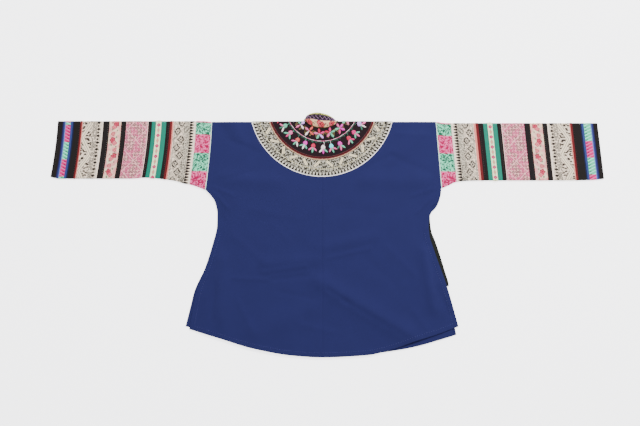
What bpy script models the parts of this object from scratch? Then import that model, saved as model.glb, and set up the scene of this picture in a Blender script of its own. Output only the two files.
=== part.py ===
"""Hmong embroidered jacket, laid flat with its back up and its sleeves straight out.

Every piece is a cloth wall. The shoulders are folds at Y = 0 of the garment's own frame, the hem is at -Y and
the back is up. All pieces are moved together at the end, so that the box's bottom centre is the origin.
"""

import math

import bmesh
import bpy
from mathutils import Vector

# Cloth and seams, in metres
CLOTH = 0.0012
TRIM = 0.0010
SEAM = 0.0003
STEP = TRIM + SEAM

# Heights of the cloth's middle above the floor
FRONT_HEIGHT = CLOTH / 2
UNDERLAP_LIFT = CLOTH + 0.0005
BACK_HEIGHT = 0.0053
SIDE_HEIGHT_LEFT = 0.0022
SIDE_HEIGHT_RIGHT = 0.0039
ARMHOLE_HEIGHT = 0.0038
EDGE_SLOPE = 0.045
FOLD_REACH = 0.0025

# Neck and round yoke, both round one point on the front, below the shoulder fold
RING_CENTRE = 0.039
NECK_RADIUS = 0.052
FIELD_RADIUS = 0.1168
PIPING_WIDTH = 0.0024
YOKE_RADIUS = 0.158
YOKE_LIFT_REACH = 0.020
YOKE_LIFT_SLOPE = 0.080
OPENING_ANGLE = math.radians(-23.0)

# Armholes of the two body pieces, out from the centre at the shoulder and at the armpit
ARMHOLE = {
    "left": {"top": 0.2391, "bottom": 0.2532, "depth": 0.1478, "bow": 0.0020},
    "right": {"top": 0.2473, "bottom": 0.2597, "depth": 0.1440, "bow": 0.0},
}
# Side edges below the armpit. Columns: down from the shoulder, out from the centre
BACK_SIDE = {
    "left": [
        (0.1478, 0.2532), (0.1600, 0.2415), (0.1740, 0.2326), (0.1990, 0.2278), (0.2250, 0.2284),
        (0.2630, 0.2371), (0.3130, 0.2528), (0.3586, 0.2700), (0.3900, 0.2780), (0.4506, 0.2890),
    ],
    "right": [
        (0.1440, 0.2597), (0.1574, 0.2565), (0.1752, 0.2490), (0.1850, 0.2385), (0.2000, 0.2335),
        (0.2230, 0.2326), (0.2436, 0.2345), (0.2790, 0.2460), (0.3560, 0.2730), (0.4445, 0.2970),
    ],
}
FRONT_SIDE = {
    "left": [
        (0.1478, 0.2532), (0.1600, 0.2415), (0.1740, 0.2326), (0.1990, 0.2278), (0.2250, 0.2284),
        (0.2630, 0.2371), (0.3130, 0.2528), (0.3686, 0.2780), (0.3997, 0.2858), (0.4445, 0.2973),
    ],
    "right": [
        (0.1440, 0.2597), (0.1574, 0.2565), (0.1752, 0.2490), (0.1850, 0.2385), (0.2000, 0.2330),
        (0.2230, 0.2310), (0.2436, 0.2325), (0.2790, 0.2440), (0.3560, 0.2700), (0.4400, 0.2860),
    ],
}
# The lap's outer edge, with the same columns, and the dark edging sewn along a part of it
LAP_SIDE = [
    (0.1500, 0.2590), (0.1752, 0.2482), (0.1850, 0.2378), (0.2050, 0.2350), (0.2334, 0.2375),
    (0.2626, 0.2480), (0.2956, 0.2590), (0.3228, 0.2672), (0.3571, 0.2763), (0.3640, 0.2740),
    (0.4630, 0.2926),
]
EDGING_TOP = 0.2050
EDGING_END = 0.3571
EDGING_WIDTH = 0.0120

# Hem lines. Columns: across from the centre, down from the shoulder
BACK_HEM = [
    (-0.2890, 0.4506), (-0.2220, 0.4710), (-0.1490, 0.4930), (-0.0640, 0.5080), (0.0000, 0.5118),
    (0.0980, 0.5070), (0.1620, 0.4915), (0.2000, 0.4770), (0.2400, 0.4650), (0.2970, 0.4445),
]
FRONT_HEM = [
    (-0.2973, 0.4445), (-0.2220, 0.4655), (-0.1490, 0.4880), (-0.0640, 0.5030), (0.0000, 0.5070),
    (0.0980, 0.5045), (0.1730, 0.4950), (0.2130, 0.4866), (0.2510, 0.4756), (0.2926, 0.4630),
]

# Soft folds of the back, each along a line. Columns: x and down of both ends, width, height
FOLDS = [
    (0.005, 0.352, 0.190, 0.462, 0.020, 0.0042),
    (-0.035, 0.405, 0.130, 0.487, 0.034, -0.0009),
    (0.222, 0.285, 0.243, 0.400, 0.012, 0.0034),
    (-0.216, 0.300, -0.220, 0.420, 0.014, 0.0032),
    (-0.130, 0.452, -0.030, 0.408, 0.022, 0.0022),
    (-0.226, 0.006, -0.160, 0.066, 0.016, -0.0010),
    (-0.198, 0.000, -0.176, 0.040, 0.018, 0.0020),
    (-0.205, 0.122, -0.110, 0.128, 0.016, 0.0022),
    (0.100, 0.125, 0.215, 0.128, 0.020, 0.0026),
    (0.200, 0.040, 0.170, 0.066, 0.018, 0.0020),
    (0.010, 0.270, 0.105, 0.250, 0.014, 0.0020),
    (-0.115, 0.306, -0.020, 0.300, 0.014, 0.0020),
]

# Sleeves: the cloth tube lies flat, its top fold near the shoulder line
SLEEVE = {
    "left": {"turn": -1, "length": 0.3354, "top_rise": 0.0017, "cuff_height": 0.0034, "lean": 0.0022},
    "right": {"turn": 1, "length": 0.3517, "top_rise": -0.0026, "cuff_height": 0.0036, "lean": 0.0022},
}
SLEEVE_FOLD_REACH = 0.0022
# The sleeve's lower outline. Columns: along from the armhole, down from the shoulder
SLEEVE_BOTTOM = {
    "left": [
        (0.0000, 0.1478), (0.0150, 0.1415), (0.0300, 0.1365), (0.0460, 0.1335), (0.0680, 0.1272),
        (0.0900, 0.1240), (0.1300, 0.1206), (0.1640, 0.1226), (0.3160, 0.1228), (0.3354, 0.1190),
    ],
    "right": [
        (0.0000, 0.1440), (0.0160, 0.1370), (0.0300, 0.1306), (0.0550, 0.1274), (0.0880, 0.1266),
        (0.1300, 0.1266), (0.2000, 0.1266), (0.2900, 0.1262), (0.3250, 0.1255), (0.3517, 0.1228),
    ],
}
BAND_COLUMNS = ("name", "cloth", "left", "right", "rise")
BANDS = [
    ("squares", "squares_cloth", 0.0348, 0.0330, 0.0),
    ("batik_upper", "batik_cloth", 0.0515, 0.0533, 0.0),
    ("piping_upper", "piping_red", 0.0050, 0.0054, 0.0006),
    ("black_a", "black_cotton", 0.0080, 0.0109, 0.0),
    ("teal", "teal_satin", 0.0311, 0.0300, 0.0),
    ("black_b", "black_cotton", 0.0078, 0.0091, 0.0),
    ("batik_pink", "batik_pink_cloth", 0.0478, 0.0498, 0.0),
    ("black_c", "black_cotton", 0.0113, 0.0130, 0.0003),
    ("floral", "floral_ribbon", 0.0250, 0.0261, 0.0),
    ("black_d", "black_cotton", 0.0139, 0.0109, 0.0003),
    ("batik_lower", "batik_cloth", 0.0463, 0.0500, 0.0),
    ("piping_lower", "piping_red", 0.0035, 0.0043, 0.0006),
    ("black_e", "black_cotton", 0.0139, 0.0178, 0.0),
    ("cuff_ribbon", "woven_ribbon", 0.0243, 0.0282, 0.0),
    ("cuff", "black_cotton", 0.0111, 0.0093, 0.0),
]
TEAL_MARGIN = {"left": (0.0104, 0.0093), "right": (0.0091, 0.0105)}
BED_SLOPE = 0.0020

# Stand collar: its back bulges up from the seam in the neck, and its top edge curls under at both ends.
# Columns: turn round the neck, x, y and z of the top edge, x, y and z that the bulge is drawn to
COLLAR = [
    (-1.00, -0.0330, 0.0060, 0.0035, -0.0460, 0.0050, 0.0090),
    (-0.75, -0.0320, 0.0130, 0.0042, -0.0375, 0.0110, 0.0170),
    (-0.50, -0.0250, 0.0176, 0.0062, -0.0270, 0.0105, 0.0205),
    (-0.10, -0.0110, 0.0200, 0.0080, -0.0090, 0.0050, 0.0225),
    (0.30, 0.0080, 0.0166, 0.0080, 0.0100, 0.0030, 0.0225),
    (0.65, 0.0200, 0.0110, 0.0062, 0.0220, 0.0030, 0.0190),
    (0.85, 0.0250, 0.0065, 0.0046, 0.0305, 0.0035, 0.0140),
    (1.00, 0.0270, 0.0025, 0.0038, 0.0365, 0.0020, 0.0095),
]
COLLAR_RADIUS = NECK_RADIUS - SEAM - CLOTH / 2
COLLAR_OVER = CLOTH + STEP + SEAM
COLLAR_FRONT_WIDTH = 0.020
COLLAR_LINES = (0.0, 0.04, 0.25, 0.46, 0.73, 1.0)
COLLAR_RIBBON_LINES = slice(1, 4)
COLLAR_RIBBON_ROWS = slice(1, -1)

# Colours as linear RGB, with roughness
CLOTHS = {
    "blue_cotton": ((0.024, 0.042, 0.168), 0.85),
    "black_cotton": ((0.018, 0.016, 0.016), 0.85),
    "dark_edging": ((0.024, 0.026, 0.024), 0.85),
    "piping_red": ((0.280, 0.040, 0.034), 0.80),
    "teal_satin": ((0.055, 0.370, 0.270), 0.45),
    "white_ribbon": ((0.760, 0.700, 0.600), 0.60),
    "batik_cloth": ((0.500, 0.440, 0.390), 0.85),
    "batik_pink_cloth": ((0.560, 0.290, 0.330), 0.85),
    "squares_cloth": ((0.620, 0.180, 0.260), 0.80),
    "floral_ribbon": ((0.700, 0.480, 0.420), 0.60),
    "woven_ribbon": ((0.600, 0.200, 0.380), 0.60),
}


def smooth(share):
    """An even step from 0 to 1."""
    share = min(max(share, 0.0), 1.0)
    return share * share * (3.0 - 2.0 * share)


def curve_at(rows, at, column=1):
    """The height of a smooth curve through the rows, read at a place in their first column."""
    if at <= rows[0][0]:
        return rows[0][column]
    if at >= rows[-1][0]:
        return rows[-1][column]
    k = max(i for i in range(len(rows) - 1) if rows[i][0] <= at)

    def slope(i):
        if i in (0, len(rows) - 1):
            j = 0 if i == 0 else len(rows) - 2
            return (rows[j + 1][column] - rows[j][column]) / (rows[j + 1][0] - rows[j][0])
        before = (rows[i][column] - rows[i - 1][column]) / (rows[i][0] - rows[i - 1][0])
        after = (rows[i + 1][column] - rows[i][column]) / (rows[i + 1][0] - rows[i][0])
        return 0.0 if before * after <= 0 else 2.0 * before * after / (before + after)

    wide = rows[k + 1][0] - rows[k][0]
    t = (at - rows[k][0]) / wide
    return (
        (1 + 2 * t) * (1 - t) ** 2 * rows[k][column]
        + t * (1 - t) ** 2 * wide * slope(k)
        + t * t * (3 - 2 * t) * rows[k + 1][column]
        - t * t * (1 - t) * wide * slope(k + 1)
    )


def from_ring_centre(x, down):
    """How far a place on the cloth is from the yoke's centre; down is negative on the front."""
    return math.hypot(x, down + RING_CENTRE)


def fold_height(x, down):
    """The soft folds of the back at one place, faded out under the stiff yoke."""
    high = 0.0
    for x0, down0, x1, down1, width, height in FOLDS:
        long_x, long_down = x1 - x0, down1 - down0
        length = math.hypot(long_x, long_down)
        along = ((x - x0) * long_x + (down - down0) * long_down) / length**2
        across = ((x - x0) * long_down - (down - down0) * long_x) / length
        past = max(0.0, -along, along - 1.0) * length
        high += height * math.exp(-((across / width) ** 2) - (past / (1.5 * width)) ** 2)
    return high * smooth((from_ring_centre(x, down) - YOKE_RADIUS - 0.004) / 0.030)


def side_out(side, down, rows):
    """How far the body's edge is from the centre, at the armhole and below it."""
    armhole = ARMHOLE[side]
    if down <= armhole["depth"]:
        share = down / armhole["depth"]
        bow = armhole["bow"] * 4.0 * share * (1.0 - share)
        return armhole["top"] + (armhole["bottom"] - armhole["top"]) * share - bow
    return curve_at(rows, down)


def back_height(x, down):
    """The middle of the back cloth above the floor."""
    side = "left" if x < 0 else "right"
    low = SIDE_HEIGHT_LEFT if side == "left" else SIDE_HEIGHT_RIGHT
    armhole = ARMHOLE[side]["depth"]
    edge = ARMHOLE_HEIGHT + (low - ARMHOLE_HEIGHT) * smooth((down - armhole) / 0.06)
    inward = side_out(side, down, BACK_SIDE[side]) - abs(x)
    share = smooth(inward / EDGE_SLOPE)
    return edge + (BACK_HEIGHT - edge) * share + fold_height(x, down) * smooth(inward / 0.02)


def front_height(x, down, under):
    """The middle of the front cloth above the floor: lifted over the yoke's front, and over the lap."""
    past = from_ring_centre(x, -down) - YOKE_RADIUS - YOKE_LIFT_REACH
    lift = STEP * (1.0 - smooth(past / YOKE_LIFT_SLOPE))
    return FRONT_HEIGHT + lift + (UNDERLAP_LIFT if under else 0.0)


def lay(x, place, out=0.0, under=False):
    """A point of the body cloth. place is the way down the back, or, below zero, down the front."""
    if place >= FOLD_REACH:
        return Vector((x, -place, back_height(x, place) + out))
    if place <= -FOLD_REACH:
        return Vector((x, place, front_height(x, -place, under) - out))
    top = back_height(x, FOLD_REACH)
    low = front_height(x, FOLD_REACH, under)
    angle = math.pi / 2 * place / FOLD_REACH
    y = -FOLD_REACH + (FOLD_REACH + out) * math.cos(angle)
    return Vector((x, y, (top + low) / 2 + ((top - low) / 2 + out) * math.sin(angle)))


def material(name):
    """A plain Principled cloth material, made once."""
    found = bpy.data.materials.get(name)
    if found:
        return found
    made = bpy.data.materials.new(name)
    made.use_nodes = True
    shader = made.node_tree.nodes["Principled BSDF"]
    colour, rough = CLOTHS[name]
    shader.inputs["Base Color"].default_value = (*colour, 1.0)
    shader.inputs["Roughness"].default_value = rough
    made.diffuse_color = (*colour, 1.0)
    return made


def wall(name, cloth, outer, inner, ring=False):
    """A closed cloth wall between two like grids of points; ring joins each row's ends into a tube."""
    rows, columns = len(outer), len(outer[0])
    mesh = bmesh.new()
    faces_out = [[mesh.verts.new(p) for p in row] for row in outer]
    faces_in = [[mesh.verts.new(p) for p in row] for row in inner]
    steps = columns if ring else columns - 1
    for i in range(rows - 1):
        for j in range(steps):
            k = (j + 1) % columns
            mesh.faces.new((faces_out[i][j], faces_out[i][k], faces_out[i + 1][k], faces_out[i + 1][j]))
            mesh.faces.new((faces_in[i][j], faces_in[i + 1][j], faces_in[i + 1][k], faces_in[i][k]))
    for i in (0, rows - 1):
        for j in range(steps):
            k = (j + 1) % columns
            mesh.faces.new((faces_out[i][j], faces_in[i][j], faces_in[i][k], faces_out[i][k]))
    if not ring:
        for i in range(rows - 1):
            for j in (0, columns - 1):
                mesh.faces.new((faces_out[i][j], faces_out[i + 1][j], faces_in[i + 1][j], faces_in[i][j]))
    bmesh.ops.recalc_face_normals(mesh, faces=mesh.faces)
    data = bpy.data.meshes.new(name)
    mesh.to_mesh(data)
    mesh.free()
    data.materials.append(material(cloth))
    piece = bpy.data.objects.new(name, data)
    bpy.context.scene.collection.objects.link(piece)
    data.shade_smooth()
    data.set_sharp_from_angle(angle=math.radians(50))
    return piece


def shares(count):
    """Even shares from 0 to 1."""
    return [i / count for i in range(count + 1)]


def neck_in(place):
    """How far the neck's edge is from the centre, at a place above the neck's bottom."""
    return math.sqrt(max(NECK_RADIUS**2 - (place + RING_CENTRE) ** 2, 0.0))


def body_half(side):
    """One half of the body: a single cloth from the back hem, over the shoulder, to the front hem."""
    turn = SLEEVE[side]["turn"]
    under = side == "right"
    columns = shares(10)
    back_side, front_side = BACK_SIDE[side], FRONT_SIDE[side]
    end_back, end_front = back_side[-1][0], front_side[-1][0]
    depth = ARMHOLE[side]["depth"]
    neck_back = NECK_RADIUS - RING_CENTRE
    neck_front = NECK_RADIUS + RING_CENTRE

    def row(place, sides, hem, end, neck):
        down = abs(place)
        across = turn * side_out(side, end, sides)
        middle = curve_at(hem, 0.0)
        share = down / end
        centre_down = share * middle
        inner = SEAM / 2
        if centre_down < neck:
            inner = max(inner, neck_in(math.copysign(centre_down, place)))
        outer = side_out(side, down, sides) - (SEAM / 2 if down <= depth else 0.0)
        points = []
        for u in columns:
            drop = share * curve_at(hem, across * u)
            x = turn * (inner + (outer - inner) * u)
            points.append((x, math.copysign(max(drop, FOLD_REACH), place)))
        return points

    def neck_rows(centre, hem, end, parts):
        """Rows that meet the neck's edge at even angles, down to its lowest point."""
        first = math.asin((FOLD_REACH + 0.002 - centre) / NECK_RADIUS)
        downs = [centre + NECK_RADIUS * math.sin(first + (math.pi / 2 - first) * s) for s in shares(parts)]
        return [down * end / curve_at(hem, 0.0) for down in downs]

    back_downs = [FOLD_REACH * 1.02] + neck_rows(-RING_CENTRE, BACK_HEM, end_back, 3)
    back_downs += [0.030, 0.060, 0.090, 0.120, depth, depth + 0.012, depth + 0.026]
    back_downs += [depth + 0.045 + (end_back - depth - 0.045) * s for s in shares(10)]
    front_downs = [FOLD_REACH * 1.02] + neck_rows(RING_CENTRE, FRONT_HEM, end_front, 9)
    front_downs += [0.110, depth, depth + 0.026]
    front_downs += [depth + 0.050 + (end_front - depth - 0.050) * s for s in shares(5)]
    rows = [row(d, back_side, BACK_HEM, end_back, neck_back) for d in reversed(back_downs)]
    armhole = side_out(side, FOLD_REACH, back_side) - SEAM / 2
    for place in (FOLD_REACH * share for share in (1.0, 0.5, 0.0, -0.5, -1.0)):
        inner = neck_in(place)
        rows.append([(turn * (inner + (armhole - inner) * u), place) for u in columns])
    rows += [row(-d, front_side, FRONT_HEM, end_front, neck_front) for d in front_downs]
    outer = [[lay(x, place, CLOTH / 2, under) for x, place in line] for line in rows]
    inner = [[lay(x, place, -CLOTH / 2, under) for x, place in line] for line in rows]
    return wall("body_" + side, "blue_cotton", outer, inner)


def opening_x(down):
    """The lap's upper edge, a straight line from the neck to the right armpit."""
    start_x = NECK_RADIUS * math.cos(OPENING_ANGLE)
    start_down = RING_CENTRE - NECK_RADIUS * math.sin(OPENING_ANGLE)
    end_down, end_x = LAP_SIDE[0]
    return start_x + (down - start_down) * (end_x - start_x) / (end_down - start_down)


def lap_edge(down):
    """The lap's outer edge, along the opening and then down the side."""
    if down < LAP_SIDE[0][0]:
        return opening_x(down)
    return curve_at(LAP_SIDE, down)


def lap_pieces():
    """The front lap, which crosses to the right side, and the dark edging along its side edge."""
    end = LAP_SIDE[-1][0]
    neck_bottom = NECK_RADIUS + RING_CENTRE
    middle = curve_at(FRONT_HEM, 0.0)
    columns = shares(9)

    def cloth_edge(down):
        edge = lap_edge(down)
        fade = smooth((down - EDGING_TOP + 0.02) / 0.02) * smooth((EDGING_END + 0.014 - down) / 0.014)
        return edge - (EDGING_WIDTH + SEAM) * fade

    def row(down):
        share = down / end
        inner = neck_in(-down) if down < neck_bottom else SEAM / 2
        outer = cloth_edge(down) - (SEAM if down < LAP_SIDE[0][0] else 0.0)
        points = []
        for u in columns:
            x = max(inner, SEAM / 2) + (outer - max(inner, SEAM / 2)) * u
            level = share * curve_at(FRONT_HEM, u * LAP_SIDE[-1][1]) * (end / LAP_SIDE[-1][0])
            curved = smooth((down - neck_bottom) / (end - neck_bottom))
            points.append((x, -(down + (level - down) * curved)))
        return points

    first = RING_CENTRE - NECK_RADIUS * math.sin(OPENING_ANGLE) + 0.002
    downs = [first, 0.068, 0.077, 0.085, 0.0895, neck_bottom, 0.115, 0.135, LAP_SIDE[0][0], 0.170]
    stations = [EDGING_TOP + (EDGING_END - EDGING_TOP) * s for s in shares(7)]
    downs += [0.185] + stations + [EDGING_END + 0.014, 0.400, 0.430, end]
    rows = [row(d) for d in downs]
    outer = [[lay(x, place, CLOTH / 2) for x, place in line] for line in rows]
    inner = [[lay(x, place, -CLOTH / 2) for x, place in line] for line in rows]
    wall("front_lap", "blue_cotton", outer, inner)

    outer, inner = [], []
    for down in stations:
        xs = (cloth_edge(down) + SEAM, lap_edge(down))
        outer.append([lay(x, -down, CLOTH / 2) for x in xs])
        inner.append([lay(x, -down, -CLOTH / 2) for x in xs])
    wall("lap_edging", "dark_edging", outer, inner)


def ring_stations(outer_radius):
    """Stations round the yoke, from the opening on the lap, round the left, the back and the right."""
    slit = SEAM / outer_radius
    stations = []
    for s in shares(11):
        stations.append(("front_left", s, slit))
    stations += [("left_fold", s, slit) for s in (-0.5, 0.0, 0.5)]
    stations += [("back", s, slit) for s in shares(14)]
    stations += [("right_fold", s, slit) for s in (0.5, 0.0, -0.5)]
    stations += [("front_right", s, slit) for s in shares(3)]
    return stations


def ring_place(station, radius):
    """Where a station meets a radius of the yoke: across, and the place along the cloth."""
    stretch, share, slit = station
    crossing = math.asin((RING_CENTRE + FOLD_REACH) / radius)
    below = math.asin((RING_CENTRE - FOLD_REACH) / radius)
    if stretch in ("left_fold", "right_fold"):
        place = share * FOLD_REACH
        x = math.sqrt(radius**2 - (place + RING_CENTRE) ** 2)
        return (-x if stretch == "left_fold" else x), place
    if stretch == "back":
        angle = math.pi - crossing + (2 * crossing - math.pi) * share
    elif stretch == "front_left":
        start = OPENING_ANGLE - slit
        angle = start + (-math.pi - below - start) * share
    else:
        angle = below + (OPENING_ANGLE + slit - below) * share
    return radius * math.cos(angle), radius * math.sin(angle) - RING_CENTRE


def on_ring(station, radius, out):
    """A point of the yoke, on the cloth that lies under it there."""
    x, place = ring_place(station, radius)
    return lay(x, place, out, under=station[0] in ("right_fold", "front_right") or x > 0 and place > 0)


def yoke_ring(name, cloth, radii, rise=0.0):
    """One ring of the round yoke, lying on the body's outer face."""
    stations = ring_stations(radii[-1])
    low = CLOTH / 2 + SEAM
    middle = len(radii) // 2
    outer, inner = [], []
    for station in stations:
        highs = [low + TRIM + (rise if i == middle and rise else 0.0) for i in range(len(radii))]
        outer.append([on_ring(station, r, h) for r, h in zip(radii, highs)])
        inner.append([on_ring(station, r, low) for r in radii])
    return wall(name, cloth, outer, inner)


def yoke():
    """The black field, the red piping and the batik ring."""
    piping_from = FIELD_RADIUS + SEAM
    piping_to = piping_from + PIPING_WIDTH
    steps = 3
    field = [NECK_RADIUS + SEAM + (FIELD_RADIUS - NECK_RADIUS - SEAM) * s for s in shares(steps)]
    yoke_ring("yoke_field", "black_cotton", field)
    yoke_ring("yoke_piping", "piping_red", [piping_from, (piping_from + piping_to) / 2, piping_to])
    yoke_ring("yoke_batik", "batik_cloth", [piping_to + SEAM, (piping_to + YOKE_RADIUS) / 2, YOKE_RADIUS])


def collar_seam(turn):
    """The lower edge of the collar's back, from the left shoulder fold (-1) to the right one (1)."""
    crossing = math.asin((RING_CENTRE + FOLD_REACH) / COLLAR_RADIUS)
    angle = math.pi / 2 - turn * (math.pi / 2 - crossing)
    place = COLLAR_RADIUS * math.sin(angle) - RING_CENTRE
    return lay(COLLAR_RADIUS * math.cos(angle), place, COLLAR_OVER)


def collar_sections():
    """Seam, bulge and top edge of the collar's back, at each row of its table and halfway between."""
    turns = [COLLAR[0][0]]
    for before, after in zip(COLLAR, COLLAR[1:]):
        turns += [(before[0] + after[0]) / 2, after[0]]
    sections = []
    for turn in turns:
        bulge = Vector([curve_at(COLLAR, turn, k) for k in (4, 5, 6)])
        top = Vector([curve_at(COLLAR, turn, k) for k in (1, 2, 3)])
        sections.append((collar_seam(turn), bulge, top))
    return sections


def collar_front(side):
    """The collar's hidden front, laid plain inside the neck from a shoulder fold to the opening."""
    radii = [COLLAR_RADIUS, COLLAR_RADIUS - COLLAR_FRONT_WIDTH]
    below = math.asin((RING_CENTRE - FOLD_REACH) / COLLAR_RADIUS)
    slit = SEAM / COLLAR_RADIUS
    first, last, parts = (-math.pi - below, OPENING_ANGLE - slit, 9)
    if side == "right":
        first, last, parts = (below, OPENING_ANGLE + slit, 4)
    outer, inner = [], []
    for share in shares(parts):
        angle = first + (last - first) * share
        x, place = COLLAR_RADIUS * math.cos(angle), COLLAR_RADIUS * math.sin(angle) - RING_CENTRE
        high = lay(x, place, 0.0, under=side == "right").z
        spots = [(r * math.cos(angle), r * math.sin(angle) - RING_CENTRE) for r in radii]
        outer.append([Vector((*spot, high - CLOTH / 2)) for spot in spots])
        inner.append([Vector((*spot, high + CLOTH / 2)) for spot in spots])
    wall("collar_front_" + side, "black_cotton", outer, inner)


def bend(section, share):
    """A point of the collar's middle between its seam and its top edge."""
    seam, bulge, top = section
    return seam * (1 - share) ** 2 + bulge * 2 * share * (1 - share) + top * share**2


def collar_grid():
    """Points of the collar's middle, and the outward direction at each."""
    points = [[bend(section, share) for share in COLLAR_LINES] for section in collar_sections()]
    normals = []
    for i, line in enumerate(points):
        found = []
        for j in range(len(line)):
            before, after = points[max(i - 1, 0)][j], points[min(i + 1, len(points) - 1)][j]
            low, high = line[max(j - 1, 0)], line[min(j + 1, len(line) - 1)]
            found.append((after - before).cross(high - low).normalized())
        normals.append(found)
    return points, normals


def moved(points, normals, out, rows=slice(None), lines=slice(None)):
    """Some rows and lines of a grid of points, moved along their directions."""
    return [
        [p + n * out for p, n in zip(line[lines], ways[lines])]
        for line, ways in zip(points[rows], normals[rows])
    ]


def collar():
    """The collar, and the floral ribbon sewn along the lower half of its back."""
    points, normals = collar_grid()
    wall("collar", "black_cotton", moved(points, normals, CLOTH / 2), moved(points, normals, -CLOTH / 2))
    low = CLOTH / 2 + SEAM
    part = (COLLAR_RIBBON_ROWS, COLLAR_RIBBON_LINES)
    grids = [moved(points, normals, out, *part) for out in (low + TRIM, low)]
    wall("collar_ribbon", "floral_ribbon", *grids)
    for side in ("left", "right"):
        collar_front(side)


def band_edges(side):
    """Where each band starts and ends along the sleeve, scaled to the sleeve's length."""
    column = BAND_COLUMNS.index(side)
    total = sum(row[column] for row in BANDS)
    scale = SLEEVE[side]["length"] / total
    edges, at = {}, 0.0
    for row in BANDS:
        edges[row[0]] = (at, at + row[column] * scale)
        at += row[column] * scale
    return edges


def ribbon_edges(side):
    """The strip of the teal band that its ribbon covers."""
    start, end = band_edges(side)["teal"]
    first, last = TEAL_MARGIN[side]
    return start + first, end - last


def sleeve_bed(side, along):
    """How much the lower layer is lifted by the ribbon that lies under it."""
    start, end = ribbon_edges(side)
    outside = max(start - 0.0006 - along, along - end - 0.0006, 0.0)
    return STEP * (1.0 - smooth(outside / BED_SLOPE))


def sleeve_point(side, along, station, out):
    """A point of the sleeve's tube. station is (stretch, share) round the tube from the top fold."""
    shape = SLEEVE[side]
    turn = shape["turn"]
    reach = SLEEVE_FOLD_REACH
    share_along = along / shape["length"]
    top_y = shape["top_rise"] * smooth(along / 0.02)
    bottom_y = -curve_at(SLEEVE_BOTTOM[side], along)
    upper = ARMHOLE_HEIGHT + (shape["cuff_height"] - ARMHOLE_HEIGHT) * share_along
    lower = FRONT_HEIGHT + sleeve_bed(side, along)
    middle, half = (upper + lower) / 2, (upper - lower) / 2
    stretch, share = station
    if stretch == "upper":
        y = (top_y - reach) + (bottom_y - top_y + 2 * reach) * share
        z = upper + out
    elif stretch == "lower":
        y = (top_y - reach) + (bottom_y - top_y + 2 * reach) * (1 - share)
        z = lower - out
    elif stretch == "bottom_fold":
        angle = math.pi / 2 * (1 - 2 * share)
        y = bottom_y + reach - (reach + out) * math.cos(angle)
        z = middle + (half + out) * math.sin(angle)
    else:
        angle = math.pi / 2 * (2 * share - 1)
        y = top_y - reach + (reach + out) * math.cos(angle)
        z = middle + (half + out) * math.sin(angle)
    share_down = min(max((top_y - y) / (top_y - bottom_y), 0.0), 1.0)
    seam = side_out(side, share_down * ARMHOLE[side]["depth"], BACK_SIDE[side])
    return Vector((turn * (seam + along + shape["lean"] * share_down * share_along), y, z))


def tube_stations():
    """Stations round a flattened sleeve."""
    stations = [("upper", s) for s in shares(4)]
    stations += [("bottom_fold", s) for s in (0.25, 0.5, 0.75)]
    stations += [("lower", s) for s in shares(3)]
    stations += [("top_fold", s) for s in (0.25, 0.5, 0.75)]
    return stations


def sleeve_band(side, name, cloth, alongs, low, high, rises=None):
    """One ring of the sleeve, with its wall between two distances out from the tube's middle."""
    stations = tube_stations()
    outer, inner = [], []
    for i, along in enumerate(alongs):
        rise = rises[i] if rises else 0.0
        outer.append([
            sleeve_point(side, along, s, high + (0.0 if s[0] == "lower" else rise)) for s in stations
        ])
        inner.append([sleeve_point(side, along, s, low) for s in stations])
    return wall(side + "_sleeve_" + name, cloth, outer, inner, ring=True)


def sleeve(side):
    """All bands of one sleeve, from the armhole to the cuff, and the ribbon on the teal band."""
    edges = band_edges(side)
    half = CLOTH / 2
    for name, cloth, _, _, rise in BANDS:
        start, end = edges[name][0] + SEAM / 2, edges[name][1] - SEAM / 2
        alongs = [start, end]
        rises = None
        if rise:
            alongs = [start, (start + end) / 2, end]
            rises = [0.0, rise, 0.0]
        if name == "teal":
            first, last = ribbon_edges(side)
            alongs = [start, first - 0.0006 - BED_SLOPE, first - 0.0006]
            alongs += [last + 0.0006, last + 0.0006 + BED_SLOPE, end]
        sleeve_band(side, name, cloth, alongs, -half, half, rises)
    first, last = ribbon_edges(side)
    low = half + SEAM
    sleeve_band(side, "teal_ribbon", "white_ribbon", [first, last], low, low + TRIM)


def clear_scene():
    """Take away whatever the file holds."""
    for piece in list(bpy.data.objects):
        bpy.data.objects.remove(piece, do_unlink=True)


def centre_on_floor():
    """Move all pieces together, so that the box's bottom centre is the origin."""
    corners = [v.co for piece in bpy.data.objects for v in piece.data.vertices]
    low = Vector([min(c[k] for c in corners) for k in range(3)])
    high = Vector([max(c[k] for c in corners) for k in range(3)])
    shift = Vector((-(low.x + high.x) / 2, -(low.y + high.y) / 2, -low.z))
    for piece in bpy.data.objects:
        for vertex in piece.data.vertices:
            vertex.co += shift
    print("moved by", tuple(round(v, 6) for v in shift), "size", tuple(round(v, 5) for v in high - low))


def main():
    clear_scene()
    for side in ("left", "right"):
        body_half(side)
    lap_pieces()
    yoke()
    collar()
    for side in ("left", "right"):
        sleeve(side)
    centre_on_floor()


main()
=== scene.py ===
"""Looks of an embroidered Hmong jacket that lies flat, its back up and its sleeves straight out.

Each cloth is a thin shell on the form of its solid, with finer creases. Places on the cloth are in the
jacket's own frame: the shoulder folds at Y = 0, the hem at -Y. UV maps hold millimetres along the cloth.
"""

import functools
import math
import random

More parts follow.
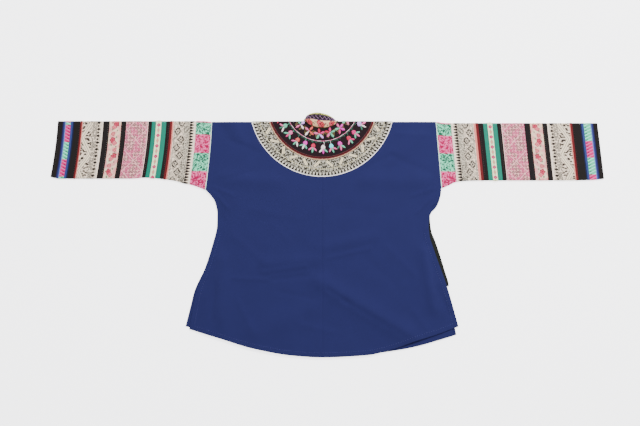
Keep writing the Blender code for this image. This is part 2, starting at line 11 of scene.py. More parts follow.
import bpy
import numpy as np
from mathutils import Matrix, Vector


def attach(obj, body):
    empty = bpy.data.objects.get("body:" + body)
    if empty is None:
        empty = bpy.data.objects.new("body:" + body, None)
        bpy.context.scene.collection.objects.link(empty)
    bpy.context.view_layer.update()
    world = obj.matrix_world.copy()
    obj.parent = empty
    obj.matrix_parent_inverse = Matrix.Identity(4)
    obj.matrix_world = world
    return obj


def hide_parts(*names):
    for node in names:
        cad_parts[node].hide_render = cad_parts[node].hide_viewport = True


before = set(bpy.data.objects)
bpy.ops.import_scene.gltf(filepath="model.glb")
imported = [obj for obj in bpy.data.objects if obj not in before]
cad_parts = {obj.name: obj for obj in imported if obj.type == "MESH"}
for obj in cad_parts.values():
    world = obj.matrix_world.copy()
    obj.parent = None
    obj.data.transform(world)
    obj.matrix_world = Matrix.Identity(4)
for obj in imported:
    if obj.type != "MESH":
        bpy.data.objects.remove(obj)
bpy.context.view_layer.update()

# From the jacket's own frame to the part's, in metres
SHIFT = Vector((-0.0114, 0.24573, 0.0))
MM = 0.001

# Cloth and seams
CLOTH = 0.0012
TRIM = 0.0010
SEAM = 0.0003
STEP = TRIM + SEAM

# Heights of the cloth's middle above the floor
FRONT_HEIGHT = CLOTH / 2
UNDERLAP_LIFT = CLOTH + 0.0005
BACK_HEIGHT = 0.0053
SIDE_HEIGHT_LEFT = 0.0022
SIDE_HEIGHT_RIGHT = 0.0039
ARMHOLE_HEIGHT = 0.0038
EDGE_SLOPE = 0.045
FOLD_REACH = 0.0025

# Neck and round yoke, both round one point on the front, below the shoulder fold
RING_CENTRE = 0.039
NECK_RADIUS = 0.052
FIELD_RADIUS = 0.1168
PIPING_WIDTH = 0.0024
YOKE_RADIUS = 0.158
YOKE_LIFT_REACH = 0.020
YOKE_LIFT_SLOPE = 0.080
OPENING_ANGLE = math.radians(-23.0)

# Armholes of the two body pieces, out from the centre at the shoulder and at the armpit
ARMHOLE = {
    "left": {"top": 0.2391, "bottom": 0.2532, "depth": 0.1478, "bow": 0.0020},
    "right": {"top": 0.2473, "bottom": 0.2597, "depth": 0.1440, "bow": 0.0},
}
# Side edges below the armpit. Columns: down from the shoulder, out from the centre
BACK_SIDE = {
    "left": [
        (0.1478, 0.2532), (0.1600, 0.2415), (0.1740, 0.2326), (0.1990, 0.2278), (0.2250, 0.2284),
        (0.2630, 0.2371), (0.3130, 0.2528), (0.3586, 0.2700), (0.3900, 0.2780), (0.4506, 0.2890),
    ],
    "right": [
        (0.1440, 0.2597), (0.1574, 0.2565), (0.1752, 0.2490), (0.1850, 0.2385), (0.2000, 0.2335),
        (0.2230, 0.2322), (0.2436, 0.2335), (0.2790, 0.2440), (0.3560, 0.2715), (0.4445, 0.2970),
    ],
}
FRONT_SIDE = {
    "left": [
        (0.1478, 0.2532), (0.1600, 0.2415), (0.1740, 0.2326), (0.1990, 0.2278), (0.2250, 0.2284),
        (0.2630, 0.2371), (0.3130, 0.2528), (0.3686, 0.2780), (0.3997, 0.2858), (0.4445, 0.2973),
    ],
    "right": [
        (0.1440, 0.2597), (0.1574, 0.2565), (0.1752, 0.2490), (0.1850, 0.2385), (0.2000, 0.2330),
        (0.2230, 0.2310), (0.2436, 0.2325), (0.2790, 0.2440), (0.3560, 0.2700), (0.4400, 0.2860),
    ],
}
# The lap's outer edge, with the same columns, and the dark edging along a part of it
LAP_SIDE = [
    (0.1500, 0.2590), (0.1752, 0.2482), (0.1850, 0.2378), (0.2050, 0.2350), (0.2334, 0.2375),
    (0.2626, 0.2480), (0.2956, 0.2590), (0.3228, 0.2672), (0.3571, 0.2763), (0.3640, 0.2740),
    (0.4630, 0.2926),
]
EDGING_TOP = 0.2050
EDGING_END = 0.3571
EDGING_WIDTH = 0.0120

# Hem lines. Columns: across from the centre, down from the shoulder
BACK_HEM = [
    (-0.2890, 0.4506), (-0.2220, 0.4710), (-0.1490, 0.4930), (-0.0640, 0.5080), (0.0000, 0.5118),
    (0.0980, 0.5070), (0.1620, 0.4915), (0.2000, 0.4770), (0.2400, 0.4650), (0.2970, 0.4445),
]
FRONT_HEM = [
    (-0.2973, 0.4445), (-0.2220, 0.4655), (-0.1490, 0.4880), (-0.0640, 0.5030), (0.0000, 0.5070),
    (0.0980, 0.5045), (0.1730, 0.4950), (0.2130, 0.4866), (0.2510, 0.4756), (0.2926, 0.4630),
]

# Large folds, as in the solids, each along a line. Columns: x and down of both ends, width, height
FOLDS = [
    (0.005, 0.352, 0.190, 0.462, 0.020, 0.0042),
    (-0.035, 0.405, 0.130, 0.487, 0.034, -0.0009),
    (0.222, 0.285, 0.243, 0.400, 0.012, 0.0034),
    (-0.216, 0.300, -0.220, 0.420, 0.014, 0.0032),
    (-0.130, 0.452, -0.030, 0.408, 0.022, 0.0022),
    (-0.226, 0.006, -0.160, 0.066, 0.016, -0.0010),
    (-0.198, 0.000, -0.176, 0.040, 0.018, 0.0020),
    (-0.205, 0.122, -0.110, 0.128, 0.016, 0.0022),
    (0.100, 0.125, 0.215, 0.128, 0.020, 0.0026),
    (0.200, 0.040, 0.170, 0.066, 0.018, 0.0020),
    (0.010, 0.270, 0.105, 0.250, 0.014, 0.0020),
    (-0.115, 0.306, -0.020, 0.300, 0.014, 0.0020),
]
# Finer creases of the back, with the same columns
CREASES = [
    (-0.196, 0.041, -0.139, 0.065, 0.006, -0.0008),
    (-0.215, 0.126, -0.150, 0.108, 0.005, -0.0008),
    (0.091, 0.098, 0.152, 0.074, 0.007, -0.0009),
    (0.152, 0.074, 0.235, 0.111, 0.007, -0.0008),
    (0.156, 0.024, 0.230, 0.028, 0.006, 0.0007),
    (0.016, 0.295, 0.104, 0.275, 0.0036, 0.0011),
    (-0.129, 0.326, -0.037, 0.313, 0.0036, 0.0010),
    (-0.112, 0.343, -0.030, 0.334, 0.0036, -0.0008),
    (-0.192, 0.339, -0.116, 0.343, 0.0036, 0.0009),
    (0.013, 0.363, 0.052, 0.389, 0.005, -0.0013),
    (0.052, 0.389, 0.183, 0.467, 0.006, -0.0012),
    (-0.232, 0.354, -0.241, 0.419, 0.005, -0.0010),
    (0.252, 0.363, 0.278, 0.419, 0.006, -0.0012),
    (-0.234, 0.142, -0.196, 0.158, 0.004, 0.0008),
    (-0.238, 0.152, -0.205, 0.186, 0.004, 0.0009),
    (-0.233, 0.168, -0.214, 0.214, 0.004, -0.0008),
    (0.240, 0.146, 0.196, 0.160, 0.004, 0.0008),
    (0.236, 0.166, 0.206, 0.196, 0.004, 0.0009),
    (0.226, 0.194, 0.216, 0.240, 0.004, -0.0007),
    (-0.150, 0.190, -0.060, 0.205, 0.009, 0.0005),
    (0.040, 0.188, 0.140, 0.200, 0.010, -0.0005),
    (-0.190, 0.250, -0.130, 0.300, 0.008, 0.0006),
    (0.140, 0.270, 0.200, 0.330, 0.008, 0.0006),
    (-0.090, 0.370, -0.020, 0.384, 0.006, -0.0006),
    (-0.180, 0.395, -0.150, 0.455, 0.008, 0.0008),
    (0.100, 0.300, 0.150, 0.345, 0.009, -0.0006),
    (-0.045, 0.440, 0.020, 0.455, 0.007, 0.0006),
    (0.200, 0.412, 0.226, 0.448, 0.007, 0.0008),
    (0.004, 0.170, 0.006, 0.330, 0.006, 0.0004),
    (-0.105, 0.225, -0.070, 0.262, 0.006, 0.0004),
]
# Low creases of the front, which can only rise off the floor
FRONT_CREASES = [
    (-0.150, 0.160, -0.040, 0.205, 0.008, 0.0005),
    (0.030, 0.230, 0.140, 0.262, 0.010, 0.0005),
    (-0.200, 0.290, -0.120, 0.350, 0.008, 0.0006),
    (0.060, 0.380, 0.150, 0.420, 0.009, 0.0006),
    (-0.110, 0.420, -0.040, 0.440, 0.008, 0.0005),
    (0.180, 0.300, 0.205, 0.360, 0.008, 0.0006),
]

# Sleeves: the cloth tube lies flat, its top fold near the shoulder line
SLEEVE = {
    "left": {"turn": -1, "length": 0.3354, "top_rise": 0.0017, "cuff_height": 0.0034, "lean": 0.0022},
    "right": {"turn": 1, "length": 0.3517, "top_rise": -0.0026, "cuff_height": 0.0036, "lean": 0.0022},
}
SLEEVE_FOLD_REACH = 0.0022
# The sleeve's lower outline. Columns: along from the armhole, down from the shoulder
SLEEVE_BOTTOM = {
    "left": [
        (0.0000, 0.1478), (0.0150, 0.1415), (0.0300, 0.1365), (0.0460, 0.1335), (0.0680, 0.1272),
        (0.0900, 0.1240), (0.1300, 0.1206), (0.1640, 0.1226), (0.3160, 0.1228), (0.3354, 0.1190),
    ],
    "right": [
        (0.0000, 0.1440), (0.0160, 0.1370), (0.0300, 0.1306), (0.0550, 0.1274), (0.0880, 0.1266),
        (0.1300, 0.1266), (0.2000, 0.1266), (0.2900, 0.1262), (0.3250, 0.1255), (0.3517, 0.1228),
    ],
}
# Low creases across a sleeve. Columns: along and share down of both ends, width, height
SLEEVE_CREASES = {
    "left": [
        (0.012, 0.92, 0.070, 0.55, 0.005, 0.0006),
        (0.020, 0.30, 0.090, 0.22, 0.007, 0.0004),
        (0.150, 0.78, 0.205, 0.84, 0.006, -0.0004),
        (0.230, 0.40, 0.300, 0.34, 0.007, 0.0004),
    ],
    "right": [
        (0.010, 0.95, 0.062, 0.62, 0.005, 0.0006),
        (0.030, 0.24, 0.110, 0.32, 0.007, 0.0004),
        (0.160, 0.66, 0.228, 0.58, 0.006, -0.0004),
        (0.262, 0.80, 0.330, 0.72, 0.006, 0.0005),
    ],
}
BANDS = [
    ("squares", "squares_cloth", 0.0348, 0.0330),
    ("batik_upper", "batik_cloth", 0.0515, 0.0533),
    ("piping_upper", "piping_red", 0.0050, 0.0054),
    ("black_a", "black_cotton", 0.0080, 0.0109),
    ("teal", "teal_satin", 0.0311, 0.0300),
    ("black_b", "black_cotton", 0.0078, 0.0091),
    ("batik_pink", "batik_pink_cloth", 0.0478, 0.0498),
    ("black_c", "black_cotton", 0.0113, 0.0130),
    ("floral", "floral_ribbon", 0.0250, 0.0261),
    ("black_d", "black_cotton", 0.0139, 0.0109),
    ("batik_lower", "batik_cloth", 0.0463, 0.0500),
    ("piping_lower", "piping_red", 0.0035, 0.0043),
    ("black_e", "black_cotton", 0.0139, 0.0178),
    ("cuff_ribbon", "woven_ribbon", 0.0243, 0.0282),
    ("cuff", "black_cotton", 0.0111, 0.0093),
]
BAND_COLUMN = {"left": 2, "right": 3}
TEAL_MARGIN = {"left": (0.0104, 0.0093), "right": (0.0091, 0.0105)}
BED_SLOPE = 0.0020

# Stand collar. Columns: turn round the neck, x, y and z of the top edge, x, y and z the bulge is drawn to
COLLAR = [
    (-1.00, -0.0330, 0.0060, 0.0035, -0.0460, 0.0050, 0.0090),
    (-0.75, -0.0320, 0.0130, 0.0042, -0.0375, 0.0110, 0.0170),
    (-0.50, -0.0250, 0.0176, 0.0062, -0.0270, 0.0105, 0.0205),
    (-0.10, -0.0110, 0.0200, 0.0080, -0.0090, 0.0050, 0.0225),
    (0.30, 0.0080, 0.0166, 0.0080, 0.0100, 0.0030, 0.0225),
    (0.65, 0.0200, 0.0110, 0.0062, 0.0220, 0.0030, 0.0190),
    (0.85, 0.0250, 0.0065, 0.0046, 0.0305, 0.0035, 0.0140),
    (1.00, 0.0270, 0.0025, 0.0038, 0.0365, 0.0020, 0.0095),
]
COLLAR_RADIUS = NECK_RADIUS - SEAM - CLOTH / 2
COLLAR_OVER = CLOTH + STEP + SEAM
COLLAR_FRONT_WIDTH = 0.020
RIBBON_TURNS = (-0.875, 0.925)
RIBBON_SHARES = (0.04, 0.46)

# Turned-up hems and slit edges: the cloth is double there, so a low step shows at the turn-up's end
HEM_WIDTH = 0.011
HEM_STEP = 0.0004
SLIT_TOP = 0.240

# Flat sizes of the cuts, where no form above gives them
BODY_LENGTH = 1.021
LAP_LENGTH = 0.455
COLLAR_CUT = (0.030, 0.100)
COLLAR_RIBBON_CUT = (0.0135, 0.093)
COLLAR_FRONT_LENGTH = {"left": 0.125, "right": 0.050}

# The floor, the lowest that thread reaches under the jacket, and how far the sleeve piping stands proud
FLOOR_HEIGHT = -0.0005
PRESSED_THREAD = -0.0003
PIPING_PROUD = 0.0005


# ---- form ----


def smooth(share):
    """An even step from 0 to 1."""
    share = min(max(share, 0.0), 1.0)
    return share * share * (3.0 - 2.0 * share)


def shares(count):
    """Even shares from 0 to 1."""
    return [i / count for i in range(count + 1)]


def spread(start, stop, count):
    """Even steps from one value to another."""
    return [start + (stop - start) * s for s in shares(count)]


def curve_at(rows, at, column=1):
    """The height of a smooth curve through the rows, read at a place in their first column."""
    if at <= rows[0][0]:
        return rows[0][column]
    if at >= rows[-1][0]:
        return rows[-1][column]
    k = max(i for i in range(len(rows) - 1) if rows[i][0] <= at)

    def slope(i):
        if i in (0, len(rows) - 1):
            j = 0 if i == 0 else len(rows) - 2
            return (rows[j + 1][column] - rows[j][column]) / (rows[j + 1][0] - rows[j][0])
        before = (rows[i][column] - rows[i - 1][column]) / (rows[i][0] - rows[i - 1][0])
        after = (rows[i + 1][column] - rows[i][column]) / (rows[i + 1][0] - rows[i][0])
        return 0.0 if before * after <= 0 else 2.0 * before * after / (before + after)

    wide = rows[k + 1][0] - rows[k][0]
    t = (at - rows[k][0]) / wide
    return (
        (1 + 2 * t) * (1 - t) ** 2 * rows[k][column]
        + t * (1 - t) ** 2 * wide * slope(k)
        + t * t * (3 - 2 * t) * rows[k + 1][column]
        - t * t * (1 - t) * wide * slope(k + 1)
    )


def from_ring_centre(x, down):
    """How far a place on the cloth is from the yoke's centre; down is negative on the front."""
    return math.hypot(x, down + RING_CENTRE)


def crease_height(rows, x, down):
    """The height of all soft folds in a table at one place."""
    high = 0.0
    for x0, down0, x1, down1, width, height in rows:
        long_x, long_down = x1 - x0, down1 - down0
        length = math.hypot(long_x, long_down)
        across = ((x - x0) * long_down - (down - down0) * long_x) / length
        if abs(across) > 3.0 * width:
            continue
        along = ((x - x0) * long_x + (down - down0) * long_down) / length**2
        past = max(0.0, -along, along - 1.0) * length
        high += height * math.exp(-((across / width) ** 2) - (past / (1.5 * width)) ** 2)
    return high


def side_out(side, down, rows):
    """How far the body's edge is from the centre, at the armhole and below it."""
    armhole = ARMHOLE[side]
    if down <= armhole["depth"]:
        share = down / armhole["depth"]
        bow = armhole["bow"] * 4.0 * share * (1.0 - share)
        return armhole["top"] + (armhole["bottom"] - armhole["top"]) * share - bow
    return curve_at(rows, down)


@functools.lru_cache(maxsize=None)
def back_height(x, down):
    """The middle of the back cloth above the floor."""
    side = "left" if x < 0 else "right"
    low = SIDE_HEIGHT_LEFT if side == "left" else SIDE_HEIGHT_RIGHT
    armhole = ARMHOLE[side]["depth"]
    edge = ARMHOLE_HEIGHT + (low - ARMHOLE_HEIGHT) * smooth((down - armhole) / 0.06)
    inward = side_out(side, down, BACK_SIDE[side]) - abs(x)
    share = smooth(inward / EDGE_SLOPE)
    bare = smooth((from_ring_centre(x, down) - YOKE_RADIUS - 0.004) / 0.030)
    fine = smooth((from_ring_centre(x, down) - YOKE_RADIUS - 0.003) / 0.012)
    high = crease_height(FOLDS, x, down) * bare + crease_height(CREASES, x, down) * fine
    return edge + (BACK_HEIGHT - edge) * share + high * smooth(inward / 0.02)


@functools.lru_cache(maxsize=None)
def front_height(x, down, under):
    """The middle of the front cloth above the floor: lifted over the yoke's front, and over the lap."""
    past = from_ring_centre(x, -down) - YOKE_RADIUS - YOKE_LIFT_REACH
    lift = STEP * (1.0 - smooth(past / YOKE_LIFT_SLOPE))
    crease = crease_height(FRONT_CREASES, x, down) * smooth(past / YOKE_LIFT_SLOPE)
    return FRONT_HEIGHT + lift + crease + (UNDERLAP_LIFT if under else 0.0)


def lay(x, place, out=0.0, under=False):
    """A point of the body cloth. place is the way down the back, or, below zero, down the front."""
    if place >= FOLD_REACH:
        return Vector((x, -place, back_height(x, place) + out))
    if place <= -FOLD_REACH:
        return Vector((x, place, front_height(x, -place, under) - out))
    top = back_height(x, FOLD_REACH)
    low = front_height(x, FOLD_REACH, under)
    angle = math.pi / 2 * place / FOLD_REACH
    y = -FOLD_REACH + (FOLD_REACH + out) * math.cos(angle)
    return Vector((x, y, (top + low) / 2 + ((top - low) / 2 + out) * math.sin(angle)))


def neck_in(place):
    """How far the neck's edge is from the centre, at a place above the neck's bottom."""
    return math.sqrt(max(NECK_RADIUS**2 - (place + RING_CENTRE) ** 2, 0.0))


# ---- shells ----


def in_scene(name, data):
    """A new object in the scene."""
    made = bpy.data.objects.new(name, data)
    bpy.context.scene.collection.objects.link(made)
    return made


def closed_cloth(name, outer, inner, marks, ring=False):
    """A closed thin wall between two like grids of points, with a UV map of the marks in millimetres."""
    outer, inner, marks = (np.array(grid, float) for grid in (outer, inner, marks))
    rows, columns = outer.shape[:2]
    points = np.concatenate([outer.reshape(-1, 3), inner.reshape(-1, 3)]) + np.array(SHIFT)
    other = rows * columns
    steps = columns if ring else columns - 1
    i, j = (a.ravel() for a in np.meshgrid(np.arange(rows - 1), np.arange(steps), indexing="ij"))
    k = (j + 1) % columns
    wide = marks.shape[1]

    def quads(a, b, c, d, ma, mb, mc, md):
        return np.stack([a, b, c, d], 1), np.stack([ma, mb, mc, md], 1)

    here, right = i * columns + j, i * columns + k
    below, far = here + columns, right + columns
    m_here, m_right = i * wide + j, i * wide + j + 1
    m_below, m_far = m_here + wide, m_right + wide
    parts = [quads(here, right, far, below, m_here, m_right, m_far, m_below)]
    parts.append(quads(
        here + other, below + other, far + other, right + other, m_here, m_below, m_far, m_right
    ))
    j = np.arange(steps)
    k = (j + 1) % columns
    for row, flip in ((0, False), (rows - 1, True)):
        a, b, ma, mb = row * columns + j, row * columns + k, row * wide + j, row * wide + j + 1
        if flip:
            a, b, ma, mb = b, a, mb, ma
        parts.append(quads(a, a + other, b + other, b, ma, ma, mb, mb))
    if not ring:
        i = np.arange(rows - 1)
        for column, flip in ((0, True), (columns - 1, False)):
            a, ma = i * columns + column, i * wide + column
            b, mb = a + columns, ma + wide
            if flip:
                a, b, ma, mb = b, a, mb, ma
            parts.append(quads(a, a + other, b + other, b, ma, ma, mb, mb))
    faces = np.concatenate([p[0] for p in parts])
    corners = np.concatenate([p[1] for p in parts])
    mesh = bpy.data.meshes.new(name)
    mesh.from_pydata(points.tolist(), [], faces.tolist())
    layer = mesh.uv_layers.new(name="cloth")
    layer.uv.foreach_set("vector", marks.reshape(-1, 2)[corners.ravel()].astype(np.float32).ravel())
    mesh.shade_smooth()
    mesh.set_sharp_from_angle(angle=math.radians(50))
    mesh.update()
    volume = sum(mesh.vertices[f.vertices[0]].co.dot(f.normal) * f.area for f in mesh.polygons)
    if volume < 0:
        mesh.flip_normals()
    return in_scene(name, mesh)


def dress(piece, slot, finish, *nodes):
    """The piece takes its finish, rides on the part and stands for its solids."""
    piece.data.materials.append(finish)
    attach(piece, "root")
    if nodes:
        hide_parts(*nodes)
    return piece


def cut(piece, width, length, held, rests_on, with_pieces=()):
    """Takes the rectangle that a cloth's cut comes out of and raises its sizes to at least 10.1 mm; nothing
    more is done with them.
    """
    width, length = max(width, 0.0101), max(length, 0.0101)


def seam_groove(x):
    """The centre seam's cloths roll down into it."""
    return 0.0005 * (1.0 - smooth(abs(x) / 0.0030))


def hem_ridge(side, x, place):
    """How much the turned-up hem and slit edges stand out on the back, with the sewing's small puckers."""
    if place < 0.15:
        return -seam_groove(x) if place > 0.12 else 0.0
    to_hem = curve_at(BACK_HEM, x) - place
    to_side = side_out(side, place, BACK_SIDE[side]) - abs(x)
    near = min(to_hem, to_side if place > 0.22 else 1.0)
    turned = 1.0 - smooth((near - HEM_WIDTH) / 0.0025 + 0.5)
    pucker = 0.00016 * math.sin((x if near == to_hem else place) / 0.0024) * (1.0 - smooth(near / 0.020))
    return HEM_STEP * turned + pucker - 0.0003 * (1.0 - smooth(near / 0.0025)) - seam_groove(x)


def on_body(side, x, place, out=0.0):
    """A point on the outer face of a body half."""
    return lay(x, place, CLOTH / 2 + hem_ridge(side, x, place) + out, side == "right")


def body_half(side, finish):
    """One half of the body: a single cloth from the back hem, over the shoulder, to the front hem."""
    turn = SLEEVE[side]["turn"]
    under = side == "right"
    columns = shares(76)
    back_side, front_side = BACK_SIDE[side], FRONT_SIDE[side]
    end_back, end_front = back_side[-1][0], front_side[-1][0]
    neck_back = NECK_RADIUS - RING_CENTRE
    neck_front = NECK_RADIUS + RING_CENTRE

    def row(place, sides, hem, end, neck):
        down = abs(place)
        across = turn * side_out(side, end, sides)
        share = down / end
        centre_down = share * curve_at(hem, 0.0)
        inner = neck_in(math.copysign(centre_down, place)) if centre_down < neck else 0.0
        outer = side_out(side, down, sides)
        points = []
        for u in columns:
            drop = share * curve_at(hem, across * u)
            x = turn * (inner + (outer - inner) * u)
            points.append((x, math.copysign(max(drop, FOLD_REACH), place)))
        return points

    def downs(end, neck, hem, finest, rest):
        """Places down the centre: even, and finer round the neck's edge."""
        first = FOLD_REACH * 1.02
        scale = end / curve_at(hem, 0.0)
        near = [first + (neck * scale * 1.02 - first) * math.sin(math.pi / 2 * s) for s in shares(finest)]
        start = near[-1] + rest
        count = max(1, round((end - start) / rest))
        return near + [start + (end - start) * s for s in shares(count)]

    back_downs = downs(end_back, neck_back, BACK_HEM, 6, 0.0036)
    front_downs = downs(end_front, neck_front, FRONT_HEM, 22, 0.0075)
    rows = [row(d, back_side, BACK_HEM, end_back, neck_back) for d in reversed(back_downs)]
    armhole = side_out(side, FOLD_REACH, back_side)
    for place in (FOLD_REACH * (1 - s / 5) for s in range(11)):
        inner = neck_in(place)
        rows.append([(turn * (inner + (armhole - inner) * u), place) for u in columns])
    rows += [row(-d, front_side, FRONT_HEM, end_front, neck_front) for d in front_downs]
    outer = [[on_body(side, x, place) for x, place in line] for line in rows]
    inner = [[lay(x, place, -CLOTH / 2, under) for x, place in line] for line in rows]
    marks = [[(x / MM, place / MM) for x, place in line] for line in rows]
    piece = closed_cloth("cloth_body_" + side, outer, inner, marks)
    return dress(piece, "blue_cotton", finish, "body_" + side)


def opening_x(down):
    """The lap's upper edge, a straight line from the neck to the right armpit."""
    start_x = NECK_RADIUS * math.cos(OPENING_ANGLE)
    start_down = RING_CENTRE - NECK_RADIUS * math.sin(OPENING_ANGLE)
    end_down, end_x = LAP_SIDE[0]
    return start_x + (down - start_down) * (end_x - start_x) / (end_down - start_down)


def lap_edge(down):
    """The lap's outer edge, along the opening and then down the side."""
    if down < LAP_SIDE[0][0]:
        return opening_x(down)
    return curve_at(LAP_SIDE, down)


def lap_pieces(cloth_finish, edging_finish):
    """The front lap, which crosses to the right side, and the dark edging along its side edge."""
    end = LAP_SIDE[-1][0]
    neck_bottom = NECK_RADIUS + RING_CENTRE
    columns = shares(44)

    def cloth_edge(down):
        edge = lap_edge(down)
        fade = smooth((down - EDGING_TOP + 0.02) / 0.02) * smooth((EDGING_END + 0.014 - down) / 0.014)
        return edge - EDGING_WIDTH * fade

    def row(down):
        share = down / end
        inner = neck_in(-down) if down < neck_bottom else 0.0
        outer = cloth_edge(down) - (SEAM if down < LAP_SIDE[0][0] else 0.0)
        points = []
        for u in columns:
            x = inner + (outer - inner) * u
            level = share * curve_at(FRONT_HEM, u * LAP_SIDE[-1][1])
            curved = smooth((down - neck_bottom) / (end - neck_bottom))
            points.append((x, -(down + (level - down) * curved)))
        return points

    first = RING_CENTRE - NECK_RADIUS * math.sin(OPENING_ANGLE) + 0.002
    downs = [first + (neck_bottom - first) * math.sin(math.pi / 2 * s) for s in shares(12)]
    downs += [neck_bottom + (EDGING_TOP - neck_bottom) * s for s in shares(18)[1:-1]]
    stations = spread(EDGING_TOP, EDGING_END, 26)
    downs += stations + [EDGING_END + (end - EDGING_END) * s for s in shares(18)[1:]]
    rows = [row(d) for d in downs]
    outer = [[lay(x, place, CLOTH / 2) for x, place in line] for line in rows]
    inner = [[lay(x, place, -CLOTH / 2) for x, place in line] for line in rows]
    marks = [[(x / MM, place / MM) for x, place in line] for line in rows]
    piece = closed_cloth("cloth_front_lap", outer, inner, marks)
    lap = dress(piece, "blue_cotton", cloth_finish, "front_lap")

    outer, inner, marks = [], [], []
    for down in stations:
        xs = spread(cloth_edge(down), lap_edge(down), 6)
        outer.append([lay(x, -down, CLOTH / 2) for x in xs])
        inner.append([lay(x, -down, -CLOTH / 2) for x in xs])
        marks.append([(x / MM, down / MM) for x in xs])
    piece = closed_cloth("cloth_lap_edging", outer, inner, marks)
    edging = dress(piece, "dark_edging", edging_finish, "lap_edging")
    return lap, edging


# ---- yoke ----


def ring_stations(outer_radius):
    """Stations round the yoke, from the opening on the lap, round the left, the back and the right."""
    slit = SEAM / outer_radius
    stations = [("front_left", s, slit) for s in shares(44)]
    stations += [("left_fold", s / 4, slit) for s in range(-3, 4)]
    stations += [("back", s, slit) for s in shares(60)]
    stations += [("right_fold", -s / 4, slit) for s in range(-3, 4)]
    stations += [("front_right", s, slit) for s in shares(12)]
    return stations


def ring_place(station, radius):
    """Where a station meets a radius of the yoke: across, and the place along the cloth."""
    stretch, share, slit = station
    crossing = math.asin((RING_CENTRE + FOLD_REACH) / radius)
    below = math.asin((RING_CENTRE - FOLD_REACH) / radius)
    if stretch in ("left_fold", "right_fold"):
        place = share * FOLD_REACH
        x = math.sqrt(radius**2 - (place + RING_CENTRE) ** 2)
        return (-x if stretch == "left_fold" else x), place
    if stretch == "back":
        angle = math.pi - crossing + (2 * crossing - math.pi) * share
    elif stretch == "front_left":
        start = OPENING_ANGLE - slit
        angle = start + (-math.pi - below - start) * share
    else:
        angle = below + (OPENING_ANGLE + slit - below) * share
    return radius * math.cos(angle), radius * math.sin(angle) - RING_CENTRE


def yoke_under(x, place):
    """True where the yoke's cloth is on the right half of the body, and not on the lap."""
    return x > 0 and math.atan2(place + RING_CENTRE, x) > OPENING_ANGLE


def yoke_ring(name, radii, lifts, slot, finish, node):
    """One ring of the round yoke, lying on the body's outer face."""
    stations = ring_stations(radii[-1])
    low = CLOTH / 2 + SEAM
    middle = (radii[0] + radii[-1]) / 2
    outer, inner, marks = [], [], []
    turned, last = 0.0, None
    for station in stations:
        spots = [ring_place(station, r) for r in radii]
        under = [station[0] in ("right_fold", "front_right") or x > 0 and place > 0 for x, place in spots]
        outer.append([lay(x, p, low + TRIM + h, u) for (x, p), u, h in zip(spots, under, lifts)])
        inner.append([lay(x, p, low, u) for (x, p), u in zip(spots, under)])
        x, place = ring_place(station, middle)
        angle = math.atan2(place + RING_CENTRE, x)
        if last is not None:
            turned += (last - angle) % (2 * math.pi)
        last = angle
        marks.append([((r - radii[0]) / MM, turned * middle / MM) for r in radii])
    return dress(closed_cloth(name, outer, inner, marks), slot, finish, node)


def radii_between(start, stop, steps, crown):
    """Radii across a ring, and how much the ring is rounded up at each."""
    lifts = [crown * (1.0 - abs(2.0 * s - 1.0) ** 6) - crown for s in shares(steps)]
    return spread(start, stop, steps), lifts


# ---- collar ----


def collar_seam(turn):
    """The lower edge of the collar's back, from the left shoulder fold (-1) to the right one (1)."""
    crossing = math.asin((RING_CENTRE + FOLD_REACH) / COLLAR_RADIUS)
    angle = math.pi / 2 - turn * (math.pi / 2 - crossing)
    place = COLLAR_RADIUS * math.sin(angle) - RING_CENTRE
    return lay(COLLAR_RADIUS * math.cos(angle), place, COLLAR_OVER)


@functools.lru_cache(maxsize=None)
def collar_section(turn):
    """Seam, bulge and top edge of the collar's back at one turn round the neck."""
    bulge = Vector([curve_at(COLLAR, turn, k) for k in (4, 5, 6)])
    top = Vector([curve_at(COLLAR, turn, k) for k in (1, 2, 3)])
    return collar_seam(turn), bulge, top


def collar_middle(turn, share):
    """A point of the collar's middle between its seam and its top edge."""
    seam, bulge, top = collar_section(turn)
    return seam * (1 - share) ** 2 + bulge * 2 * share * (1 - share) + top * share**2


def collar_place(turn, share, out):
    """A point of the collar's back, out from its middle."""
    near = 0.01
    along = collar_middle(min(turn + near, 1.0), share) - collar_middle(max(turn - near, -1.0), share)
    up = collar_middle(turn, min(share + near, 1.0)) - collar_middle(turn, max(share - near, 0.0))
    return collar_middle(turn, share) + along.cross(up).normalized() * out


def collar_shell(node, turns, up, low, high, slot, finish):
    """A cloth on the collar's back between two turns and two shares of its height."""
    outer, inner, marks = [], [], []
    width, length = COLLAR_CUT
    for turn in turns:
        outer.append([collar_place(turn, s, high) for s in up])
        inner.append([collar_place(turn, s, low) for s in up])
        marks.append([(s * width / MM, (turn + 1) / 2 * length / MM) for s in up])
    return dress(closed_cloth("cloth_" + node, outer, inner, marks), slot, finish, node)


def collar_front(side, finish):
    """The collar's hidden front, laid plain inside the neck from a shoulder fold to the opening."""
    radii = [COLLAR_RADIUS - COLLAR_FRONT_WIDTH * s for s in shares(6)]
    below = math.asin((RING_CENTRE - FOLD_REACH) / COLLAR_RADIUS)
    slit = SEAM / COLLAR_RADIUS
    first, last, parts = (-math.pi - below, OPENING_ANGLE - slit, 48)
    if side == "right":
        first, last, parts = (below, OPENING_ANGLE + slit, 20)
    outer, inner, marks = [], [], []
    for share in shares(parts):
        angle = first + (last - first) * share
        x, place = COLLAR_RADIUS * math.cos(angle), COLLAR_RADIUS * math.sin(angle) - RING_CENTRE
        high = lay(x, place, 0.0, under=side == "right").z
        spots = [(r * math.cos(angle), r * math.sin(angle) - RING_CENTRE) for r in radii]
        outer.append([Vector((*spot, high - CLOTH / 2)) for spot in spots])
        inner.append([Vector((*spot, high + CLOTH / 2)) for spot in spots])
        marks.append([((COLLAR_RADIUS - r) / MM, angle * COLLAR_RADIUS / MM) for r in radii])
    name = "collar_front_" + side
    return dress(closed_cloth("cloth_" + name, outer, inner, marks), "black_cotton", finish, name)


# ---- sleeves ----


